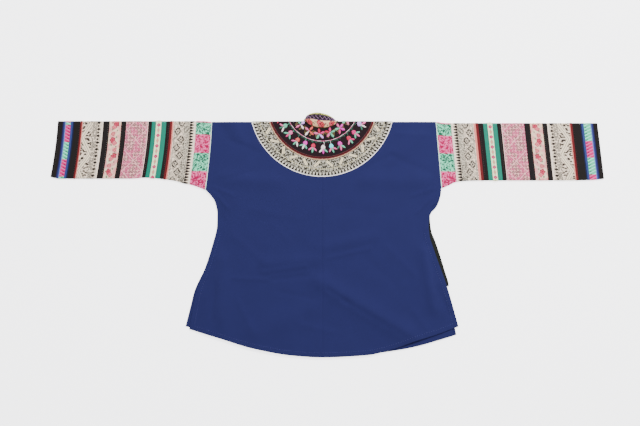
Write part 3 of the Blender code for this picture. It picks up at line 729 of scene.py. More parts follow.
def band_edges(side):
    """Where each band starts and ends along the sleeve, scaled to the sleeve's length."""
    column = BAND_COLUMN[side]
    scale = SLEEVE[side]["length"] / sum(row[column] for row in BANDS)
    edges, at = {}, 0.0
    for row in BANDS:
        edges[row[0]] = (at, at + row[column] * scale)
        at += row[column] * scale
    return edges


def ribbon_edges(side):
    """The strip of the teal band that its ribbon covers."""
    start, end = band_edges(side)["teal"]
    first, last = TEAL_MARGIN[side]
    return start + first, end - last


def sleeve_bed(side, along):
    """How much the lower layer is lifted by the ribbon that lies under it."""
    start, end = ribbon_edges(side)
    outside = max(start - 0.0006 - along, along - end - 0.0006, 0.0)
    return STEP * (1.0 - smooth(outside / BED_SLOPE))


def sleeve_crease(side, along, share):
    """Low creases of the sleeve's upper layer, faded out at its folds."""
    wide = 0.125
    rows = [(a, s * wide, b, t * wide, w, h) for a, s, b, t, w, h in SLEEVE_CREASES[side]]
    return crease_height(rows, along, share * wide) * smooth(min(share, 1.0 - share) / 0.06)


def sleeve_point(side, along, station, out):
    """A point of the sleeve's tube. station is (stretch, share) round the tube from the top fold."""
    shape = SLEEVE[side]
    reach = SLEEVE_FOLD_REACH
    share_along = along / shape["length"]
    top_y = shape["top_rise"] * smooth(along / 0.02)
    bottom_y = -curve_at(SLEEVE_BOTTOM[side], along)
    upper = ARMHOLE_HEIGHT + (shape["cuff_height"] - ARMHOLE_HEIGHT) * share_along
    lower = FRONT_HEIGHT + sleeve_bed(side, along)
    middle, half = (upper + lower) / 2, (upper - lower) / 2
    stretch, share = station
    if stretch == "upper":
        y = (top_y - reach) + (bottom_y - top_y + 2 * reach) * share
        z = upper + out + sleeve_crease(side, along, share)
    elif stretch == "lower":
        y = (top_y - reach) + (bottom_y - top_y + 2 * reach) * (1 - share)
        z = lower - out
    elif stretch == "bottom_fold":
        angle = math.pi / 2 * (1 - 2 * share)
        y = bottom_y + reach - (reach + out) * math.cos(angle)
        z = middle + (half + out) * math.sin(angle)
    else:
        angle = math.pi / 2 * (2 * share - 1)
        y = top_y - reach + (reach + out) * math.cos(angle)
        z = middle + (half + out) * math.sin(angle)
    share_down = min(max((top_y - y) / (top_y - bottom_y), 0.0), 1.0)
    seam = side_out(side, share_down * ARMHOLE[side]["depth"], BACK_SIDE[side])
    return Vector((shape["turn"] * (seam + along + shape["lean"] * share_down * share_along), y, z))


def tube_stations():
    """Stations round a flattened sleeve, from its top fold down the upper side and back under."""
    bend = shares(8)[1:-1]
    rounds = (("upper", shares(44)), ("bottom_fold", bend), ("lower", shares(24)), ("top_fold", bend))
    return [(stretch, s) for stretch, steps in rounds for s in steps]


def around(side, along, station):
    """How far round the sleeve a station is from the top fold."""
    wide = curve_at(SLEEVE_BOTTOM[side], along)
    reach = SLEEVE_FOLD_REACH
    bend = math.pi * reach
    stretch, share = station
    flat = wide - 2 * reach
    start = {"upper": 0.0, "bottom_fold": flat, "lower": flat + bend, "top_fold": 2 * flat + bend}[stretch]
    return start + share * (flat if stretch in ("upper", "lower") else bend) + reach


def sleeve_band(side, name, slot, finish, start, end, low, high, crown):
    """One ring of the sleeve between two distances out from the tube's middle, its edges rounded down."""
    stations = tube_stations()
    steps = max(3, round((end - start) / 0.0025))
    outer, inner, marks = [], [], []
    for s in shares(steps):
        along = start + (end - start) * s
        near = min(s, 1.0 - s) * (end - start)
        lift = crown * (smooth(near / 0.0022 + 0.15) - 1.0)
        outer.append([sleeve_point(side, along, station, high + lift) for station in stations])
        inner.append([sleeve_point(side, along, station, low) for station in stations])
        line = [((along - start) / MM, around(side, along, station) / MM) for station in stations]
        marks.append(line + [(line[0][0], around(side, along, ("top_fold", 1.0)) / MM)])
    node = f"{side}_sleeve_{name}"
    piece = closed_cloth("cloth_" + node, outer, inner, marks, ring=True)
    return dress(piece, slot, finish, node)


# ---- finishes ----


def dye(code):
    """A colour's linear red, green and blue from its sRGB hex code."""
    found = []
    for k in (1, 3, 5):
        c = int(code[k : k + 2], 16) / 255
        found.append(c / 12.92 if c <= 0.04045 else ((c + 0.055) / 1.055) ** 2.4)
    return (*found, 1.0)


def add(tree, kind, inputs=(), **settings):
    """One shader node with its settings. Inputs are values, or the nodes and sockets to link."""
    node = tree.nodes.new("ShaderNode" + kind)
    for name, value in settings.items():
        setattr(node, name, value)
    for key, value in inputs.items() if isinstance(inputs, dict) else enumerate(inputs):
        if isinstance(value, bpy.types.Node):
            value = value.outputs[0]
        if isinstance(value, bpy.types.NodeSocket):
            tree.links.new(value, node.inputs[key])
        else:
            node.inputs[key].default_value = value
    return node


def new_finish(name, hand=0.0, hand_size=8.0):
    """An empty material and where a point is on its cloth in millimetres, as drawn by an unsteady hand."""
    made = bpy.data.materials.new(name)
    made.use_nodes = True
    tree = made.node_tree
    tree.nodes.clear()
    where = add(tree, "UVMap", uv_map="cloth")
    if hand:
        drift = add(tree, "TexNoise", {"Vector": where, "Scale": 1 / hand_size, "Detail": 1.0})
        off = add(tree, "VectorMath", (drift.outputs["Color"], (0.5, 0.5, 0.5)), operation="SUBTRACT")
        amount = (2 * hand, 2 * hand, 0.0)
        where = add(tree, "VectorMath", (off, amount, where), operation="MULTIPLY_ADD")
    return made, tree, add(tree, "SeparateXYZ", (where,)), where


def between(tree, at, low, high):
    """1 where a reading lies between two values."""
    return add(tree, "Math", (at, (low + high) / 2, (high - low) / 2), operation="COMPARE")


def flat_cells(tree, where, size, uneven):
    """Scattered cells on the cloth, in millimetres: how far a point is from the middle of its own."""
    settings = {"Vector": where, "Scale": 1 / size, "Randomness": uneven}
    return add(tree, "TexVoronoi", settings, voronoi_dimensions="2D")


def curls(tree, where, size, uneven=0.6, ring=0.34, line=0.12, dot=0.14):
    """1 in small wax-drawn curls, each a ring round a dot."""
    cells = flat_cells(tree, where, size, uneven)
    rings = add(tree, "Math", (cells, ring, line), operation="COMPARE")
    dots = add(tree, "Math", (cells, dot), operation="LESS_THAN")
    return add(tree, "Math", (rings, dots), operation="MAXIMUM")


def leaves(tree, where, size, fill, slant=0.7):
    """1 in small solid leaf marks, scattered and a little slanted."""
    slanted = add(tree, "VectorMath", (where, (slant, 1.0, 1.0)), operation="MULTIPLY")
    return add(tree, "Math", (flat_cells(tree, slanted, size, 0.7), fill), operation="LESS_THAN")


def layers(tree, ground, *coats):
    """Coats laid one over another on a ground. Each coat is where it shows, and its colour."""
    for mask, colour in coats:
        ground = add(tree, "MixRGB", (mask, ground, dye(colour) if isinstance(colour, str) else colour))
    return ground


def both(tree, one, other):
    """1 where both masks are."""
    return add(tree, "Math", (one, other), operation="MULTIPLY")


def motif_row(tree, place, centre, sway, pitch, start=0.0):
    """Places within a row of motifs that stand by turns on either side of a line: across and along
    from each motif's middle, and which side it is on, 0 or 1."""
    along = add(tree, "Math", (place.outputs[1], start), operation="SUBTRACT")
    count = add(tree, "Math", (along, 1 / pitch), operation="MULTIPLY")
    row = add(tree, "Math", (count,), operation="ROUND")
    side = add(tree, "Math", (row, 1.0), operation="PINGPONG")
    middle = add(tree, "Math", (side, 2 * sway, centre - sway), operation="MULTIPLY_ADD")
    off_across = add(tree, "Math", (place.outputs[0], middle), operation="SUBTRACT")
    off_along = add(tree, "Math", (along, pitch / 2, -pitch / 2), operation="WRAP")
    return off_across, off_along, side


def lozenges(tree, across, along, wide, tall):
    """How far out a point is in a lozenge, 1 at its edge."""
    reach = add(tree, "Math", (across,), operation="ABSOLUTE")
    rise = add(tree, "Math", (along,), operation="ABSOLUTE")
    reach = add(tree, "Math", (reach, 1 / wide), operation="MULTIPLY")
    return add(tree, "Math", (rise, 1 / tall, reach), operation="MULTIPLY_ADD")


def flowers(tree, across, along, size, petals=5.0, deep=0.24):
    """How far out a point is in a flower, 1 at its petals' edge."""
    out = add(tree, "VectorMath", (add(tree, "CombineXYZ", (across, along)),), operation="LENGTH")
    angle = add(tree, "Math", (along, across), operation="ARCTAN2")
    turn = add(tree, "Math", (angle, petals), operation="MULTIPLY")
    lobe = add(tree, "Math", (turn,), operation="COSINE")
    edge = add(tree, "Math", (lobe, size * deep, size * (1.0 - deep)), operation="MULTIPLY_ADD")
    return add(tree, "Math", (out.outputs["Value"], edge), operation="DIVIDE")


def teeth(tree, place, centre, half, pitch, start, stop, wide=0.48):
    """1 in a row of pointed dashes across the cloth, cut off at both ends."""
    across, along, side = motif_row(tree, place, centre, 0.0, pitch, 2.0)
    far = lozenges(tree, across, along, half, wide * pitch)
    inside = between(tree, place.outputs[0], start, stop)
    return both(tree, add(tree, "Math", (far, 1.0), operation="LESS_THAN"), inside)


def slanted_bars(tree, across, along, side, long, wide):
    """1 in a bar that slants one way or the other, 1 in its outline, and 1 in the line along its middle."""
    sign = add(tree, "Math", (side, 2.0, -1.0), operation="MULTIPLY_ADD")
    lean = add(tree, "Math", (along, sign), operation="MULTIPLY")
    with_it = add(tree, "Math", (across, lean), operation="ADD")
    athwart = add(tree, "Math", (across, lean), operation="SUBTRACT")
    root = math.sqrt(2.0)
    masks = []
    for half_long, half_wide in ((long / 2, wide / 2), (long / 2 + 0.9, wide / 2 + 0.9), (long / 2, 0.45)):
        inside = between(tree, with_it, -half_long * root, half_long * root)
        beside = between(tree, athwart, -half_wide * root, half_wide * root)
        masks.append(add(tree, "Math", (inside, beside), operation="MULTIPLY"))
    return masks


def woven(made, place, colour, thread, relief, rough, mottle_and_weave_shade=0.10, shine=0.15, satin=0.0):
    """Ends a cloth's material: a plain weave of uneven threads, mottled at random, with painted shade from
    the weave: the colour is lighter on the threads' tops and darker between them. Satin shows the threads
    of one way only, so there this painted shade makes painted sheen streaks along them.
    """
    tree = made.node_tree
    turns = [add(tree, "Math", (place.outputs[k], math.pi / thread), operation="MULTIPLY") for k in (0, 1)]
    waves = [add(tree, "Math", (turn,), operation="SINE") for turn in turns]
    weave = add(tree, "Math", (waves[0], waves[0] if satin else waves[1]), operation="MULTIPLY")
    where = add(tree, "CombineXYZ", (place.outputs[0], place.outputs[1]))
    slubs = add(tree, "TexNoise", {"Vector": where, "Scale": 0.55 / thread, "Detail": 2.0})
    cloud = add(tree, "TexNoise", {"Vector": where, "Scale": 0.028, "Detail": 3.0})
    level = add(tree, "Math", (slubs, mottle_and_weave_shade, 1.0 - mottle_and_weave_shade), operation="MULTIPLY_ADD")
    level = add(tree, "Math", (cloud, mottle_and_weave_shade, level), operation="MULTIPLY_ADD")
    # Painted shade: the weave's height also lightens the thread tops and darkens the hollows between
    # threads; on satin these are painted sheen streaks
    level = add(tree, "Math", (weave, 0.3 * mottle_and_weave_shade, level), operation="MULTIPLY_ADD")
    # The dye, mottled at random, with the painted shade of the weave in it
    mottled_with_weave_shade = add(tree, "HueSaturation", {"Value": level, "Color": colour})
    high = add(tree, "Math", (slubs, 1.2, weave), operation="MULTIPLY_ADD")
    bump = add(tree, "Bump", {"Height": high, "Strength": 0.6, "Distance": relief})
    rough_now = add(tree, "Math", (slubs, 0.12, rough - 0.06), operation="MULTIPLY_ADD")
    shader = add(tree, "BsdfPrincipled", {
        "Base Color": mottled_with_weave_shade, "Roughness": rough_now, "Normal": bump, "Sheen Weight": 0.02,
        "Sheen Roughness": 0.5, "Specular IOR Level": shine,
    })
    add(tree, "OutputMaterial", (shader,))
    return made


def plain_cloth(name, code, thread=1.1, relief=0.0002, rough=0.88, mottle_and_weave_shade=0.10, **more):
    """A cloth of one dye. Real threads are about 0.4 mm apart, drawn wider here so that they show."""
    made, tree, place, where = new_finish(name)
    return woven(made, place, dye(code), thread, relief, rough, mottle_and_weave_shade, **more)


# Wax-resist cottons: the wax keeps lines of cream, and the dye darkens what lies between them
CREAM, PALE, GREY, INK, LINE = "#E8D4BE", "#E8D7C7", "#867F76", "#25201E", "#D37A70"


def batik_cotton(made, place, colour):
    """Ends a batik's material: matt, plain-woven cotton."""
    return woven(made, place, colour, 1.2, 0.00018, 0.88, 0.10)


def batik_upper():
    """Teeth along the armhole side, then fine curls, then lozenges by turns left and right."""
    made, tree, place, where = new_finish("Batik cotton, teeth and lozenges", 0.7)
    u = place.outputs[0]
    faded = add(tree, "TexNoise", {"Vector": where, "Scale": 0.045, "Detail": 1.0})
    strength = add(tree, "MapRange", (faded, 0.35, 0.65, 0.45, 1.0))
    fine = both(tree, curls(tree, where, 5.4), strength)
    flecks = both(tree, leaves(tree, where, 4.6, 0.33, 1.0), strength)
    zone = between(tree, u, 11.5, 26.0)
    ground = layers(tree, dye(CREAM), (zone, "#CABEAB"))
    colour = layers(
        tree, ground,
        (both(tree, fine, add(tree, "Math", (u, 11.5), operation="GREATER_THAN")), "#656057"),
        (both(tree, flecks, zone), "#322E2A"),
    )
    across, along, side = motif_row(tree, place, 34.0, 4.0, 17.5, 4.0)
    far = lozenges(tree, across, along, 8.8, 10.8)
    colour = layers(
        tree, colour,
        (add(tree, "Math", (far, 1.15), operation="LESS_THAN"), CREAM),
        (between(tree, far, 0.44, 1.0), INK), (between(tree, far, -1.0, 0.27), INK),
        (both(tree, leaves(tree, where, 3.2, 0.36), between(tree, far, -1.0, 1.1)), "#A2988A"),
        (teeth(tree, place, 10.2, 8.8, 6.2, 3.7, 12.6), INK), (between(tree, u, -2.0, 3.4), PALE),
        (between(tree, u, 45.4, 46.6), GREY), (between(tree, u, 48.4, 60.0), LINE),
    )
    return batik_cotton(made, place, colour)


def batik_lower(name, wide):
    """Small triangles along the armhole side, curls, then bars of cream in a zigzag with leaves between."""
    made, tree, place, where = new_finish(name, 0.7)
    u, v = place.outputs[0], place.outputs[1]
    zone = between(tree, u, 22.0, wide - 2.0)
    zigzag = add(tree, "Math", (v, 35.0), operation="PINGPONG")
    line = add(tree, "Math", (zigzag, 0.60, 22.4), operation="MULTIPLY_ADD")
    off = add(tree, "Math", (u, line), operation="SUBTRACT")
    beside = add(tree, "CombineXYZ", (off, v))
    marks = both(tree, leaves(tree, beside, 5.0, 0.37, 0.62), zone)
    specks = leaves(tree, where, 3.3, 0.30, 1.0)
    colour = layers(
        tree, dye(CREAM),
        (specks, "#A09484"), (both(tree, curls(tree, where, 6.0), between(tree, u, 11.0, 22.0)), "#6F685E"),
        (marks, "#352E2A"),
    )
    bars = ((5.2, "#777065"), (4.3, "#E8D6BB"), (0.7, "#80786E"))
    colour = layers(tree, colour, *[(both(tree, between(tree, off, -w, w), zone), c) for w, c in bars])
    across, along, side = motif_row(tree, place, 8.8, 0.0, 14.2, 3.0)
    far = lozenges(tree, across, along, 4.6, 3.6)
    across, along, side = motif_row(tree, place, 9.6, 0.0, 14.2, 10.1)
    bud = lozenges(tree, across, along, 3.4, 2.8)
    colour = layers(
        tree, colour,
        (add(tree, "Math", (far, 1.0), operation="LESS_THAN"), INK),
        (add(tree, "Math", (bud, 1.0), operation="LESS_THAN"), "#433E38"),
        (between(tree, u, -2.0, 3.2), PALE), (between(tree, u, wide - 2.0, 60.0), LINE),
    )
    return batik_cotton(made, place, colour)


def batik_pink():
    """Rows of curls, grey and rose by patches, under a lattice of pale lines."""
    made, tree, place, where = new_finish("Batik cotton overdyed pink", 0.6)
    u = place.outputs[0]
    patches = add(tree, "TexNoise", {"Vector": where, "Scale": 0.07, "Detail": 1.0})
    rose = add(tree, "MapRange", (patches, 0.47, 0.53))
    marks = add(tree, "MixRGB", (rose, dye("#493B3B"), dye("#A02F5D")))
    ground = add(tree, "MixRGB", (rose, dye("#E6ACA7"), dye("#DD8C9D")))
    across, along, side = motif_row(tree, place, 24.0, 0.0, 44.0, 40.0)
    sides = [add(tree, "Math", (reading,), operation="ABSOLUTE") for reading in (across, along)]
    lattice = between(tree, add(tree, "Math", (sides[0], sides[1]), operation="SUBTRACT"), -1.0, 1.0)
    specks = leaves(tree, where, 3.6, 0.30, 1.0)
    colour = layers(
        tree, ground,
        (specks, "#D06E87"), (curls(tree, where, 7.2, 0.18, 0.33, 0.10, 0.12), marks), (lattice, "#E5A6AA"),
        (add(tree, "Math", (u, 1.6), operation="LESS_THAN"), "#E8BEBA"),
    )
    return batik_cotton(made, place, colour)


def batik_yoke():
    """Round the yoke: cream bars that slant by turns, leaves between them, curls, teeth and a pale rim."""
    made, tree, place, where = new_finish("Batik cotton, round yoke", 0.7)
    u = place.outputs[0]
    zone = between(tree, u, 3.0, 28.5)
    marks = both(tree, leaves(tree, where, 4.4, 0.40), zone)
    specks = leaves(tree, where, 3.4, 0.30, 1.0)
    colour = layers(
        tree, dye("#A19B91"),
        (curls(tree, where, 5.6), "#443F3A"), (zone, "#AFA99A"), (specks, "#6C685D"), (marks, "#27251F"),
    )
    across, along, side = motif_row(tree, place, 11.2, 0.0, 29.0, 6.0)
    bar, outline, middle = slanted_bars(tree, across, along, side, 18.0, 5.0)
    colour = layers(
        tree, colour,
        (outline, "#3C3731"), (bar, "#E8D9B4"), (middle, "#716858"),
        (between(tree, u, 21.4, 22.3), "#D2C7A2"), (between(tree, u, 30.0, 37.0), "#BBB5A6"),
        (teeth(tree, place, 37.0, 12.0, 6.4, 29.8, 36.7, 0.40), "#26221D"),
        (add(tree, "Math", (u, 36.9), operation="GREATER_THAN"), "#E4DFE4"),
        (between(tree, u, 0.9, 2.1), "#CDA07A"), (between(tree, u, 2.1, 3.0), "#31231D"),
    )
    return batik_cotton(made, place, colour)


def cross_stitched():
    """Squares of green and of pink by turns, each with four rosettes in thread of two tones."""
    made, tree, place, where = new_finish("Cross-stitched cotton squares", 0.5, 5.0)
    u = place.outputs[0]
    across, along, side = motif_row(tree, place, 1.4, 0.0, 39.6, 8.2)
    near = [
        add(tree, "Math", (across, 16.2, 0.0), operation="WRAP"),
        add(tree, "Math", (along, 19.8, 0.0), operation="WRAP"),
    ]
    near = [add(tree, "Math", (n, half), operation="SUBTRACT") for n, half in zip(near, (8.1, 9.9))]
    out = add(tree, "VectorMath", (add(tree, "CombineXYZ", near),), operation="LENGTH").outputs["Value"]
    ripples = add(tree, "Math", (add(tree, "Math", (out, 1.05), operation="MULTIPLY"),), operation="COSINE")
    stitches = flat_cells(tree, where, 2.3, 0.9)
    own = add(tree, "SeparateColor", (stitches.outputs["Color"],))
    uneven = add(tree, "Math", (own, 2.5, -0.74), operation="MULTIPLY_ADD")
    shade = add(tree, "Math", (ripples, -0.34, uneven), operation="MULTIPLY_ADD", use_clamp=True)
    greens = add(tree, "MixRGB", (shade, dye("#1C5540"), dye("#73D6AE")))
    pinks = add(tree, "MixRGB", (shade, dye("#9A0444"), dye("#E56698")))
    colour = add(tree, "MixRGB", (side, greens, pinks))
    colour = layers(tree, colour, (add(tree, "Math", (u, 1.6), operation="LESS_THAN"), "#CEEADD"))
    return woven(made, place, colour, 1.5, 0.0004, 0.8, 0.12)


def floral(name, ground, centre, roses, buds):
    """Ribbon of cream and rose with red roses by turns left and right, and small green buds."""
    made, tree, place, where = new_finish(name, 1.3, 5.0)
    blush = add(tree, "TexNoise", {"Vector": where, "Scale": 0.09, "Detail": 2.0})
    tint = add(tree, "MapRange", (blush, 0.42, 0.58))
    colour = add(tree, "MixRGB", (tint, *[dye(code) for code in ground]))
    for sway, pitch, start, wide, tall, code in buds:
        across, along, side = motif_row(tree, place, centre, sway, pitch, start)
        bud = lozenges(tree, across, along, wide, tall)
        colour = layers(tree, colour, (add(tree, "Math", (bud, 1.0), operation="LESS_THAN"), code))
    for sway, pitch, start, size, petals, dark, light in roses:
        across, along, side = motif_row(tree, place, centre, sway, pitch, start)
        far = flowers(tree, across, along, size, petals, 0.12)
        colour = layers(
            tree, colour,
            (between(tree, far, -1.0, 1.0), dark), (between(tree, far, 0.22, 0.72), light),
        )
    return woven(made, place, colour, 0.9, 0.00015, 0.7, 0.08)


def dotted_ribbon():
    """White ribbon with a rose at every 22 mm, and between them a paler bud with green leaves."""
    made, tree, place, where = new_finish("White woven ribbon with roses", 0.3)
    across, along, side = motif_row(tree, place, 5.4, 0.0, 22.4, 8.0)
    rose = flowers(tree, across, along, 4.0, 4.0, 0.08)
    across, along, side = motif_row(tree, place, 5.4, 0.0, 22.4, 19.2)
    bud = lozenges(tree, across, along, 3.4, 7.0)
    colour = layers(
        tree, dye("#E7E6BD"),
        (add(tree, "Math", (bud, 1.0), operation="LESS_THAN"), "#9FB67F"),
        (add(tree, "Math", (bud, 0.62), operation="LESS_THAN"), "#D67E7D"),
        (add(tree, "Math", (rose, 1.0), operation="LESS_THAN"), "#AA0A51"),
        (add(tree, "Math", (rose, 0.42), operation="LESS_THAN"), "#CE537A"),
    )
    return woven(made, place, colour, 0.9, 0.00015, 0.65, 0.06)


def cuff_ribbon(name, wide, start):
    """Blue and lilac selvedges, with blocks of rose and of mint between, crossed by slanting floats."""
    made, tree, place, where = new_finish(name, 0.35)
    u, v = place.outputs[0], place.outputs[1]
    across, along, side = motif_row(tree, place, wide / 2, 0.0, 37.0, start)
    lean = add(tree, "Math", (u, 0.45, v), operation="MULTIPLY_ADD")
    off = add(tree, "Math", (lean, 3.5, -3.5), operation="WRAP")
    dashes = both(tree, between(tree, off, -1.2, 1.2), between(tree, u, 7.6, 12.6))
    glints = both(tree, between(tree, off, 1.2, 3.2), between(tree, u, 7.2, wide - 6.6))
    colour = layers(
        tree, add(tree, "MixRGB", (side, dye("#41BD8F"), dye("#C41169"))),
        (glints, add(tree, "MixRGB", (side, dye("#8CEAD1"), dye("#D56799")))),
        (dashes, add(tree, "MixRGB", (side, dye("#2A5A47"), dye("#82033F")))),
        (between(tree, u, wide - 6.8, wide - 5.0), "#5F6EAE"),
        (add(tree, "Math", (u, wide - 5.0), operation="GREATER_THAN"), "#273067"),
        (add(tree, "Math", (u, wide - 2.2), operation="GREATER_THAN"), "#191646"),
        (add(tree, "Math", (u, 7.0), operation="LESS_THAN"), "#2A376E"),
        (add(tree, "Math", (u, 2.4), operation="LESS_THAN"), "#0B1337"),
    )
    return woven(made, place, colour, 0.9, 0.0002, 0.7, 0.08)


def silk_floss():
    """Embroidery silk: soft shine along fine threads, partly from the shader and partly painted, each
    strand's colour lighter along its top and darker between strands; each motif in its own dye.
    """
    made, tree, place, where = new_finish("Silk embroidery floss")
    strand = add(tree, "Math", (place.outputs[1], 2 * math.pi / 0.7), operation="MULTIPLY")
    thread = add(tree, "Math", (strand,), operation="SINE")
    own = add(tree, "Attribute", attribute_name="dye")
    # Painted shade and highlight: each strand's colour is lighter along its top and darker between strands
    level = add(tree, "Math", (thread, 0.10, 1.0), operation="MULTIPLY_ADD")
    colour = add(tree, "HueSaturation", {"Value": level, "Color": own})
    bump = add(tree, "Bump", {"Height": thread, "Strength": 0.5, "Distance": 0.00015})
    shader = add(tree, "BsdfPrincipled", {
        "Base Color": colour, "Roughness": 0.5, "Normal": bump, "Sheen Weight": 0.1,
        "Specular IOR Level": 0.35,
    })
    add(tree, "OutputMaterial", (shader,))
    return made


def finishes():
    """Every finish, by the piece that it is for, or by its slot."""
    # Roses. Columns: sway, pitch, start and size in mm, petals, dark and light dye
    cuff_roses = [
        (3.2, 34.0, 6.0, 6.6, 5.0, "#77152D", "#B93D53"),
        (-1.4, 34.0, 12.6, 5.8, 4.0, "#AE324F", "#D37479"),
        (-3.6, 34.0, 27.0, 4.8, 3.0, "#9C2846", "#D47A78"),
    ]
    # Buds. Columns: sway, pitch, start, width and height in mm, dye
    cuff_buds = [(5.6, 17.0, 20.0, 1.8, 2.2, "#4B5546"), (-5.0, 17.0, 17.0, 2.2, 3.0, "#67765E")]
    neck_roses = [
        (0.3, 34.0, 12.0, 8.6, 5.0, "#891E2F", "#CC555F"),
        (-0.8, 34.0, 19.6, 6.4, 4.0, "#771E2C", "#C64448"),
    ]
    neck_buds = [(0.6, 34.0, 28.5, 2.2, 2.4, "#493B3A"), (-2.4, 34.0, 34.5, 1.8, 2.2, "#646B53")]
    return {
        # Plain cottons
        "blue_cotton": plain_cloth("Indigo-dyed cotton, plain weave", "#1A1D49", mottle_and_weave_shade=0.12),
        "black_cotton": plain_cloth("Black cotton, plain weave", "#181414", mottle_and_weave_shade=0.16),
        "yoke_field": plain_cloth("Black cotton of the yoke", "#1B0D13", mottle_and_weave_shade=0.16),
        "dark_edging": plain_cloth("Dark cotton edging", "#1A1B18"),
        "piping_red": plain_cloth("Dull red cotton piping", "#5F1A1E", mottle_and_weave_shade=0.16),
        # Satin, smooth with a soft shine, and painted sheen streaks along its threads
        "teal_satin": plain_cloth("Teal satin", "#046D5A", 0.8, 0.0001, 0.5, satin=1.0, shine=0.2),
        # Wax-resist cottons
        "yoke_batik": batik_yoke(),
        "batik_upper": batik_upper(),
        "left_batik_lower": batik_lower("Batik cotton, zigzag bars, left", 46.3),
        "right_batik_lower": batik_lower("Batik cotton, zigzag bars, right", 50.0),
        "batik_pink": batik_pink(),
        # Squares of cross stitches
        "squares": cross_stitched(),
        # Woven ribbons
        "white_ribbon": dotted_ribbon(),
        "floral": floral("Floral woven ribbon", ("#E7CAAD", "#DC8F8E"), 12.6, cuff_roses, cuff_buds),
        "collar_ribbon": floral(
            "Floral woven ribbon of the collar", ("#E4BF8E", "#E3AC8A"), 6.8, neck_roses, neck_buds
        ),
        "left_cuff_ribbon": cuff_ribbon("Woven cuff ribbon, left", 24.3, -11.0),
        "right_cuff_ribbon": cuff_ribbon("Woven cuff ribbon, right", 28.2, 21.0),
        # Embroidery silk
        "floss": silk_floss(),
    }


# ---- needlework ----

ROSE, PINK, SALMON, RED, MAGENTA = "#C5226E", "#D1598F", "#C64A43", "#B90A40", "#CF27AA"
MINT, GREEN, WHITE, SKY, LILAC, TAN = "#52AC8A", "#29654F", "#E6D9D6", "#2DDFE7", "#C69AE6", "#806D39"
# Outer sprigs, in order round the yoke: the flower's head, then its three petals
SPRIGS = [
    (PINK, RED, MINT, ROSE), (MINT, WHITE, GREEN, PINK), (PINK, MINT, ROSE, MINT),
    (SALMON, WHITE, MINT, PINK), (MAGENTA, MINT, WHITE, MINT), (RED, PINK, MINT, PINK),
    (WHITE, MINT, MAGENTA, WHITE), (SKY, PINK, MINT, PINK), (MAGENTA, MINT, PINK, GREEN),
    (RED, ROSE, MINT, PINK), (ROSE, MINT, PINK, MINT), (LILAC, PINK, WHITE, GREEN),
]
# Inner flowers, in order: four or five petals each
BLOSSOMS = [
    (ROSE, RED, PINK, MINT, MINT), (PINK, MINT, ROSE, MAGENTA, MAGENTA),
    (LILAC, MINT, PINK, MINT, WHITE), (LILAC, MINT, PINK, WHITE), (SALMON, PINK, WHITE, SALMON),
    (RED, PINK, MINT, LILAC, ROSE),
]
SPRIG_RADIUS = 0.0930
BLOSSOM_RADIUS = 0.0655
COUCHED_RADIUS = 0.0808


def on_yoke(x, place, out):
    """A point of the needlework, above the yoke's field. On the front it is pressed flat by the weight."""
    if place < 0:
        out = 0.15 * out
    return lay(x, place, CLOTH / 2 + STEP + out, yoke_under(x, place))


def ring_spot(turn, radius):
    """Across and place on the cloth at a turn from straight down the back, anticlockwise from above."""
    return radius * math.sin(turn), radius * math.cos(turn) - RING_CENTRE


def satin_petal(x, place, turn, length, wide, high, code):
    """A satin-stitched petal from its foot: a low rounded lobe. turn is its way, as for ring_spot."""
    long_way = (math.sin(turn), math.cos(turn))
    side_way = (math.cos(turn), -math.sin(turn))
    points, marks = [], []
    for s in shares(9):
        body = math.sin(math.pi * (0.04 + 0.92 * s)) ** 0.75 * (0.72 + 0.40 * s)
        points.append([])
        marks.append([])
        for t in (k / 3 for k in range(-3, 4)):
            a, b = s * length, t * body * wide / 2
            rise = high * math.sqrt(max(1.0 - t * t, 0.0)) * min(1.0, 1.4 * body)
            spot = (x + long_way[0] * a + side_way[0] * b, place + long_way[1] * a + side_way[1] * b)
            points[-1].append(on_yoke(*spot, rise - 0.0001))
            marks[-1].append((b / MM, a / MM))
    return points, marks, code, False


def laid_cord(line, ways, thick, code, ends=1.0, sides=6):
    """A round thread along a line of points; ways are the directions out of the cloth."""
    points, marks, gone = [], [], 0.0
    for i, (p, way) in enumerate(zip(line, ways)):
        along = (line[min(i + 1, len(line) - 1)] - line[max(i - 1, 0)]).normalized()
        aside = along.cross(way).normalized()
        if i:
            gone += (p - line[i - 1]).length
        radius = thick / 2 * (ends if i in (0, len(line) - 1) else 1.0)
        ring = [2 * math.pi * k / sides for k in range(sides)]
        points.append([p + aside * radius * math.cos(a) + way * radius * math.sin(a) for a in ring])
        marks.append([(k, (gone / MM + 0.12 * k)) for k in range(sides + 1)])
    return points, marks, code, True


def yoke_thread(spots, thick, code):
    """A thread laid along places on the yoke."""
    line = [on_yoke(x, place, 0.4 * thick) for x, place in spots]
    ways = [on_yoke(x, place, 0.002) - on_yoke(x, place, 0.001) for x, place in spots]
    ways = [way.normalized() if way.length else Vector((0, 0, 1)) for way in ways]
    return laid_cord(line, ways, thick, code)


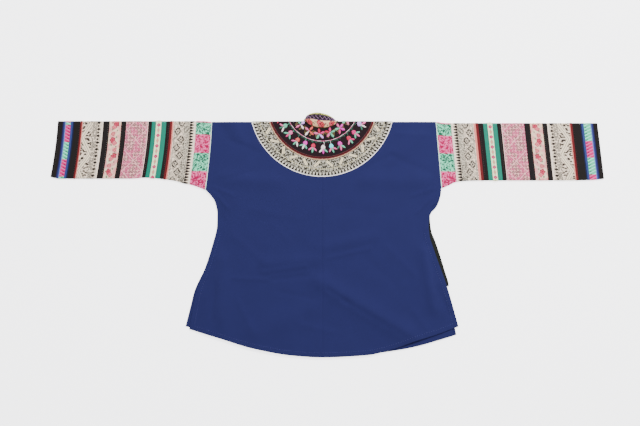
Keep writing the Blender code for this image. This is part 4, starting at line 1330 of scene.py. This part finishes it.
def joined(name, parts, finish):
    """All the small grids of points as one mesh, with a UV map and each part's own dye.

    Thread under the jacket is pressed flat between it and what it lies on.
    """
    verts, faces, uvs, dyes = [], [], [], []
    for points, marks, code, ring in parts:
        rows, columns, start = len(points), len(points[0]), len(verts)
        verts += [p + SHIFT for line in points for p in line]
        dyes += [dye(code)] * (rows * columns)
        for i in range(rows - 1):
            for j in range(columns if ring else columns - 1):
                k = (j + 1) % columns
                a, b = start + i * columns, start + (i + 1) * columns
                faces.append((a + j, a + k, b + k, b + j))
                uvs += [marks[i][j], marks[i][j + 1], marks[i + 1][j + 1], marks[i + 1][j]]
    mesh = bpy.data.meshes.new(name)
    mesh.from_pydata([(x, y, max(z, PRESSED_THREAD)) for x, y, z in verts], [], faces)
    layer = mesh.uv_layers.new(name="cloth")
    layer.uv.foreach_set("vector", np.array(uvs, np.float32).ravel())
    own = mesh.attributes.new("dye", "FLOAT_COLOR", "POINT")
    own.data.foreach_set("color", np.array(dyes, np.float32).ravel())
    mesh.shade_smooth()
    return dress(in_scene(name, mesh), None, finish)


def sprig(turn, dyes, chance):
    """A hanging flower: a round head, three petals below it, and a stem up to the couched ring."""
    radius = SPRIG_RADIUS + chance.uniform(-0.0015, 0.0015)
    parts = []
    lean = chance.uniform(-0.25, 0.25)
    for side in (-0.30, 0.30):
        foot = ring_spot(turn + 0.030 * side, radius - 0.0048)
        parts.append(satin_petal(*foot, turn + side * 0.5, 0.0096, 0.0070, 0.0012, dyes[0]))
    foot = ring_spot(turn, radius + 0.0032)
    for code, fan in zip(dyes[1:], (-0.85, 0.0, 0.85)):
        length = chance.uniform(0.0110, 0.0132)
        wide = chance.uniform(0.0040, 0.0050)
        parts.append(satin_petal(*foot, turn - fan - lean, length, wide, 0.0010, code))
    bow = chance.uniform(-0.04, 0.04)
    reach = radius - 0.003 - COUCHED_RADIUS
    stem = [ring_spot(turn + bow * math.sin(math.pi * s), COUCHED_RADIUS + reach * s) for s in shares(5)]
    parts.append(yoke_thread(stem, 0.0009, chance.choice((GREEN, MINT, WHITE))))
    for way in (-1, 1):
        ways = [(turn + way * 0.07 * s, COUCHED_RADIUS + 0.002 + 0.0026 * s * s) for s in shares(4)]
        parts.append(yoke_thread([ring_spot(*spot) for spot in ways], 0.0007, GREEN))
    return parts


def blossom(turn, dyes, chance):
    """An inner flower of four or five long petals round its middle."""
    x, place = ring_spot(turn, BLOSSOM_RADIUS + chance.uniform(-0.001, 0.001))
    first = turn + math.pi + chance.uniform(-0.3, 0.3)
    parts = []
    for k, code in enumerate(dyes):
        way = first + 2 * math.pi * k / len(dyes)
        foot = (x + 0.0010 * math.sin(way), place + 0.0010 * math.cos(way))
        length = chance.uniform(0.0104, 0.0122)
        parts.append(satin_petal(*foot, way, length, chance.uniform(0.0050, 0.0062), 0.0012, code))
    parts.append(satin_petal(x, place - 0.0012, 0.0, 0.0024, 0.0024, 0.0016, WHITE))
    return parts


def yoke_turns(step, start):
    """Turns at even steps round the yoke, clear of the lap's opening."""
    opening = math.pi / 2 - OPENING_ANGLE
    count = int(2 * math.pi / step)
    turns = [start + step * (k - count // 2) for k in range(count)]
    return [t for t in turns if abs((t - opening + math.pi) % (2 * math.pi) - math.pi) > 0.10]


def yoke_needlework(finish):
    """Sprigs, blossoms, curled threads and the couched rings, all in one piece."""
    chance = random.Random(7)
    parts = []
    for k, turn in enumerate(yoke_turns(math.radians(12.0), math.radians(0.9))):
        parts += sprig(turn + chance.uniform(-0.02, 0.02), SPRIGS[(k + 4) % len(SPRIGS)], chance)
    blossoms = yoke_turns(math.radians(20.6), math.radians(-5.0))
    for k, turn in enumerate(blossoms):
        parts += blossom(turn, BLOSSOMS[(k + 3) % len(BLOSSOMS)], chance)
        for way in (-1, 1):
            curl = []
            for s in shares(10):
                out = 0.0745 - 0.0135 * math.sin(math.pi * s) ** 1.5
                angle = 10.3 + way * 6.5 * math.cos(math.pi * s / 1.2)
                curl.append(ring_spot(turn + math.radians(angle), out))
            parts.append(yoke_thread(curl, 0.0009, TAN))
    opening = math.pi / 2 - OPENING_ANGLE
    rings = (
        (COUCHED_RADIUS, 0.0013, ("#E9C8D1", "#D66E94")), (COUCHED_RADIUS + 0.0022, 0.0007, (GREEN,)),
        (NECK_RADIUS - 0.0001, 0.0018, ("#665630",)), (FIELD_RADIUS - 0.0016, 0.0012, ("#53181B",)),
    )
    for radius, thick, codes in rings:
        lengths = 60 if len(codes) > 1 else 4
        first, last = opening + 0.008, opening + 2 * math.pi - 0.008
        for k in range(lengths):
            low = first + (last - first) * k / lengths
            high = first + (last - first) * (k + 1) / lengths
            spots = [ring_spot(low + (high - low) * s, radius) for s in shares(240 // lengths)]
            parts.append(yoke_thread(spots, thick, codes[k % len(codes)]))
    return joined("needlework_yoke", parts, finish)


def collar_thread(spots, thick, code, ends=1.0):
    """A thread laid on the collar along pairs of turn and share."""
    low = CLOTH / 2
    line = [collar_place(turn, share, low + 0.3 * thick) for turn, share in spots]
    ways = [(collar_place(t, s, 0.001) - collar_place(t, s, 0.0)).normalized() for t, s in spots]
    return laid_cord(line, ways, thick, code, ends)


def collar_needlework(finish):
    """A purple zigzag between two lines above the ribbon, and overcast stitches on the top edge."""
    chance = random.Random(11)
    parts = []
    for share, code in ((0.50, "#593B65"), (0.80, "#4A324F")):
        line = [(-0.84 + 1.70 * s, share) for s in shares(60)]
        parts.append(collar_thread(line, 0.0009, code))
    zigzag = [(-0.82 + 1.66 * k / 16, 0.55 if k % 2 else 0.76) for k in range(17)]
    parts.append(collar_thread(zigzag, 0.0010, "#A976AA"))
    for k in range(70):
        turn = -0.97 + 1.94 * k / 69
        slip = chance.uniform(-0.006, 0.006)
        code = chance.choice(("#BBBA52", "#979741", "#DCD85E"))
        spots = [(turn + slip + 0.02 * s, 0.86 + 0.135 * s) for s in shares(4)]
        parts.append(collar_thread(spots, 0.0009, code, 0.4))
    for k in range(24):
        share = 0.06 + 0.86 * k / 23
        spots = [(-0.985 + 0.045 * s, share + 0.02 * s) for s in shares(3)]
        parts.append(collar_thread(spots, 0.0009, "#968A4D", 0.4))
    return joined("needlework_collar", parts, finish)


def hem_stitches(finish):
    """Small running stitches in blue thread that hold the back's hem and slit edges."""
    parts, way = [], Vector((0, 0, 1))
    for side in ("left", "right"):
        turn, edge = SLEEVE[side]["turn"], BACK_SIDE[side]
        inset = HEM_WIDTH - 0.0008
        corner = edge[-1][0] - inset
        downs = spread(SLIT_TOP, corner, 40)
        rows = [[(turn * (side_out(side, down, edge) - inset), down) for down in downs]]
        xs = [turn * (edge[-1][1] - inset) * s for s in shares(56)]
        rows.append([(x, curve_at(BACK_HEM, x) - inset) for x in xs])
        for row in rows:
            for (x0, down0), (x1, down1) in zip(row, row[1:]):
                spots = [
                    on_body(side, x0 + (x1 - x0) * s, down0 + (down1 - down0) * s, out)
                    for s, out in ((0.2, -0.0002), (0.32, 0.0002), (0.55, 0.0002), (0.67, -0.0002))
                ]
                parts.append(laid_cord(spots, [way] * 4, 0.0006, "#2D306E", 0.5, 4))
    return joined("stitches_hem", parts, finish)


# Rows of running stitches on the sleeves. Columns: band, share of its width, pitch and length in mm, dye
STITCH_ROWS = [
    ("black_a", 0.30, 4.2, 1.8, "#623B3A"), ("black_b", 0.55, 4.6, 1.6, "#564A40"),
    ("black_c", 0.80, 5.6, 1.6, "#695F5A"), ("black_d", 0.20, 4.8, 1.6, "#7F766F"),
    ("black_e", 0.12, 5.2, 1.6, "#4A2927"), ("batik_pink", 0.985, 4.4, 1.8, "#E8C4BA"),
    ("squares", 0.97, 4.0, 1.6, "#E8DFCC"), ("cuff", 0.55, 6.0, 1.8, "#302D2A"),
]


def sleeve_stitches(side, finish):
    """Running stitches along the seams of one sleeve, all round it."""
    chance = random.Random(5)
    edges = band_edges(side)
    parts = []
    for band, share, pitch, length, code in STITCH_ROWS:
        start, end = edges[band]
        along = start + (end - start) * share
        wide = curve_at(SLEEVE_BOTTOM[side], along)
        for stretch, press, up in (("upper", 1.0, 1), ("lower", 0.25, -1)):
            for k in range(int((wide - 0.008) / MM / pitch)):
                middle = (0.004 + (k + 0.5) * pitch * MM) / wide
                half = length * MM * chance.uniform(0.8, 1.2) / 2 / wide
                slip = chance.uniform(-0.0003, 0.0003)
                spots = [
                    sleeve_point(side, along + slip, (stretch, middle + half * t), CLOTH / 2 + press * h)
                    for t, h in ((-1.0, -0.0002), (-0.5, 0.0002), (0.5, 0.0002), (1.0, -0.0002))
                ]
                thick = 0.0006 * (press + 1) / 2
                parts.append(laid_cord(spots, [Vector((0, 0, up))] * 4, thick, code, 0.5, 4))
    return joined(f"stitches_{side}_sleeve", parts, finish)


# ---- stage ----


def stage():
    """A pale floor, one large soft lamp over the shoulders, and the camera straight above.

    The backdrop of the photo is a pale sheet so brightly lit that it shows near white, so it glows here.
    """
    mesh = bpy.data.meshes.new("floor")
    wide = 6.0
    corners = [(-wide, -wide), (wide, -wide), (wide, wide), (-wide, wide)]
    mesh.from_pydata([(x, y, FLOOR_HEIGHT) for x, y in corners], [], [(0, 1, 2, 3)])
    floor = in_scene("floor", mesh)
    paper = bpy.data.materials.new("Pale backing paper")
    paper.use_nodes = True
    shader = paper.node_tree.nodes["Principled BSDF"]
    shader.inputs["Base Color"].default_value = dye("#F0F0F2")
    shader.inputs["Roughness"].default_value = 0.9
    shader.inputs["Emission Color"].default_value = dye("#FCFCFF")
    shader.inputs["Emission Strength"].default_value = 2.7
    mesh.materials.append(paper)

    world = bpy.data.worlds.new("studio")
    world.use_nodes = True
    sky = world.node_tree.nodes["Background"]
    sky.inputs["Color"].default_value = (1.0, 1.0, 1.0, 1.0)
    sky.inputs["Strength"].default_value = 0.95
    bpy.context.scene.world = world
    lamp = bpy.data.lights.new("softbox", "AREA")
    lamp.shape = "RECTANGLE"
    lamp.size, lamp.size_y = 1.4, 0.7
    lamp.energy = 182.0
    holder = in_scene("softbox", lamp)
    holder.location = (0.80, 2.00, 2.30)
    holder.rotation_euler = (-Vector(holder.location)).to_track_quat("-Z", "Y").to_euler()

    # The photo shows 2.1735 mm to a pixel at the height of the back, and is 640 pixels wide
    scale = 0.0021735
    lens, sensor = 50.0, 36.0
    data = bpy.data.cameras.new("above")
    data.lens, data.sensor_width = lens, sensor
    camera = in_scene("above", data)
    height = 640 * scale * lens / sensor
    camera.location = (-0.01575, 0.04794, BACK_HEIGHT + height)
    bpy.context.scene.camera = camera


# ---- make it all ----


def main():
    """Every piece, each with its finish, and then the stage. Each cloth's cut is passed to cut(), which
    keeps nothing of it.
    """
    finish = finishes()
    halves = [body_half(side, finish["blue_cotton"]) for side in ("left", "right")]
    lap, edging = lap_pieces(finish["blue_cotton"], finish["dark_edging"])
    for piece, side in zip(halves, ("left", "right")):
        wide = max(out for _, out in FRONT_SIDE[side] + BACK_SIDE[side])
        cut(piece, wide, BODY_LENGTH, "laid", [lap.name])
    cut(lap, LAP_SIDE[-1][1], LAP_LENGTH, "laid", ["floor"])
    cut(edging, EDGING_WIDTH, EDGING_END - EDGING_TOP, "laid", ["floor"])

    piping_to = FIELD_RADIUS + PIPING_WIDTH
    rings = [
        ("yoke_field", NECK_RADIUS + 0.0001, FIELD_RADIUS, 24, 0.0002, "black_cotton"),
        ("yoke_piping", FIELD_RADIUS, piping_to, 6, 0.0006, "piping_red"),
        ("yoke_batik", piping_to, YOKE_RADIUS, 20, 0.0004, "batik_cloth"),
    ]
    for node, start, stop, steps, crown, slot in rings:
        radii, lifts = radii_between(start, stop, steps, crown)
        own = finish.get(node, finish.get(slot))
        piece = yoke_ring("cloth_" + node, radii, lifts, slot, own, node)
        cut(piece, stop - start, math.pi * (start + stop), "laid", [h.name for h in halves])

    half = CLOTH / 2
    turns, black = spread(-1.0, 1.0, 72), finish["black_cotton"]
    piece = collar_shell("collar", turns, shares(22), -half, half, "black_cotton", black)
    cut(piece, *COLLAR_CUT, "folded", ["cloth_yoke_field"])
    turns, up = spread(*RIBBON_TURNS, 66), spread(*RIBBON_SHARES, 10)
    low, own = half + SEAM, finish["collar_ribbon"]
    piece = collar_shell("collar_ribbon", turns, up, low, low + TRIM, "floral_ribbon", own)
    cut(piece, *COLLAR_RIBBON_CUT, "folded", ["cloth_collar"])
    for side, length in COLLAR_FRONT_LENGTH.items():
        cut(collar_front(side, black), COLLAR_FRONT_WIDTH, length, "laid", ["cloth_body_" + side])

    for side in ("left", "right"):
        edges = band_edges(side)
        for name, slot, *_ in BANDS:
            start, end = edges[name]
            high = half + (PIPING_PROUD if "piping" in name else 0.0)
            own = finish.get(f"{side}_{name}", finish.get(name, finish.get(slot)))
            piece = sleeve_band(side, name, slot, own, start, end, -half, high, 0.0003)
            length = 2 * curve_at(SLEEVE_BOTTOM[side], (start + end) / 2)
            cut(piece, end - start, length, "laid", ["floor"])
        start, end = ribbon_edges(side)
        piece = sleeve_band(
            side, "teal_ribbon", "white_ribbon", finish["white_ribbon"], start, end, low, low + TRIM, 0.0003
        )
        length = 2 * curve_at(SLEEVE_BOTTOM[side], start)
        cut(piece, end - start, length, "laid", [f"cloth_{side}_sleeve_teal"])
        sleeve_stitches(side, finish["floss"])
    hem_stitches(finish["floss"])
    yoke_needlework(finish["floss"])
    collar_needlework(finish["floss"])
    stage()


main()
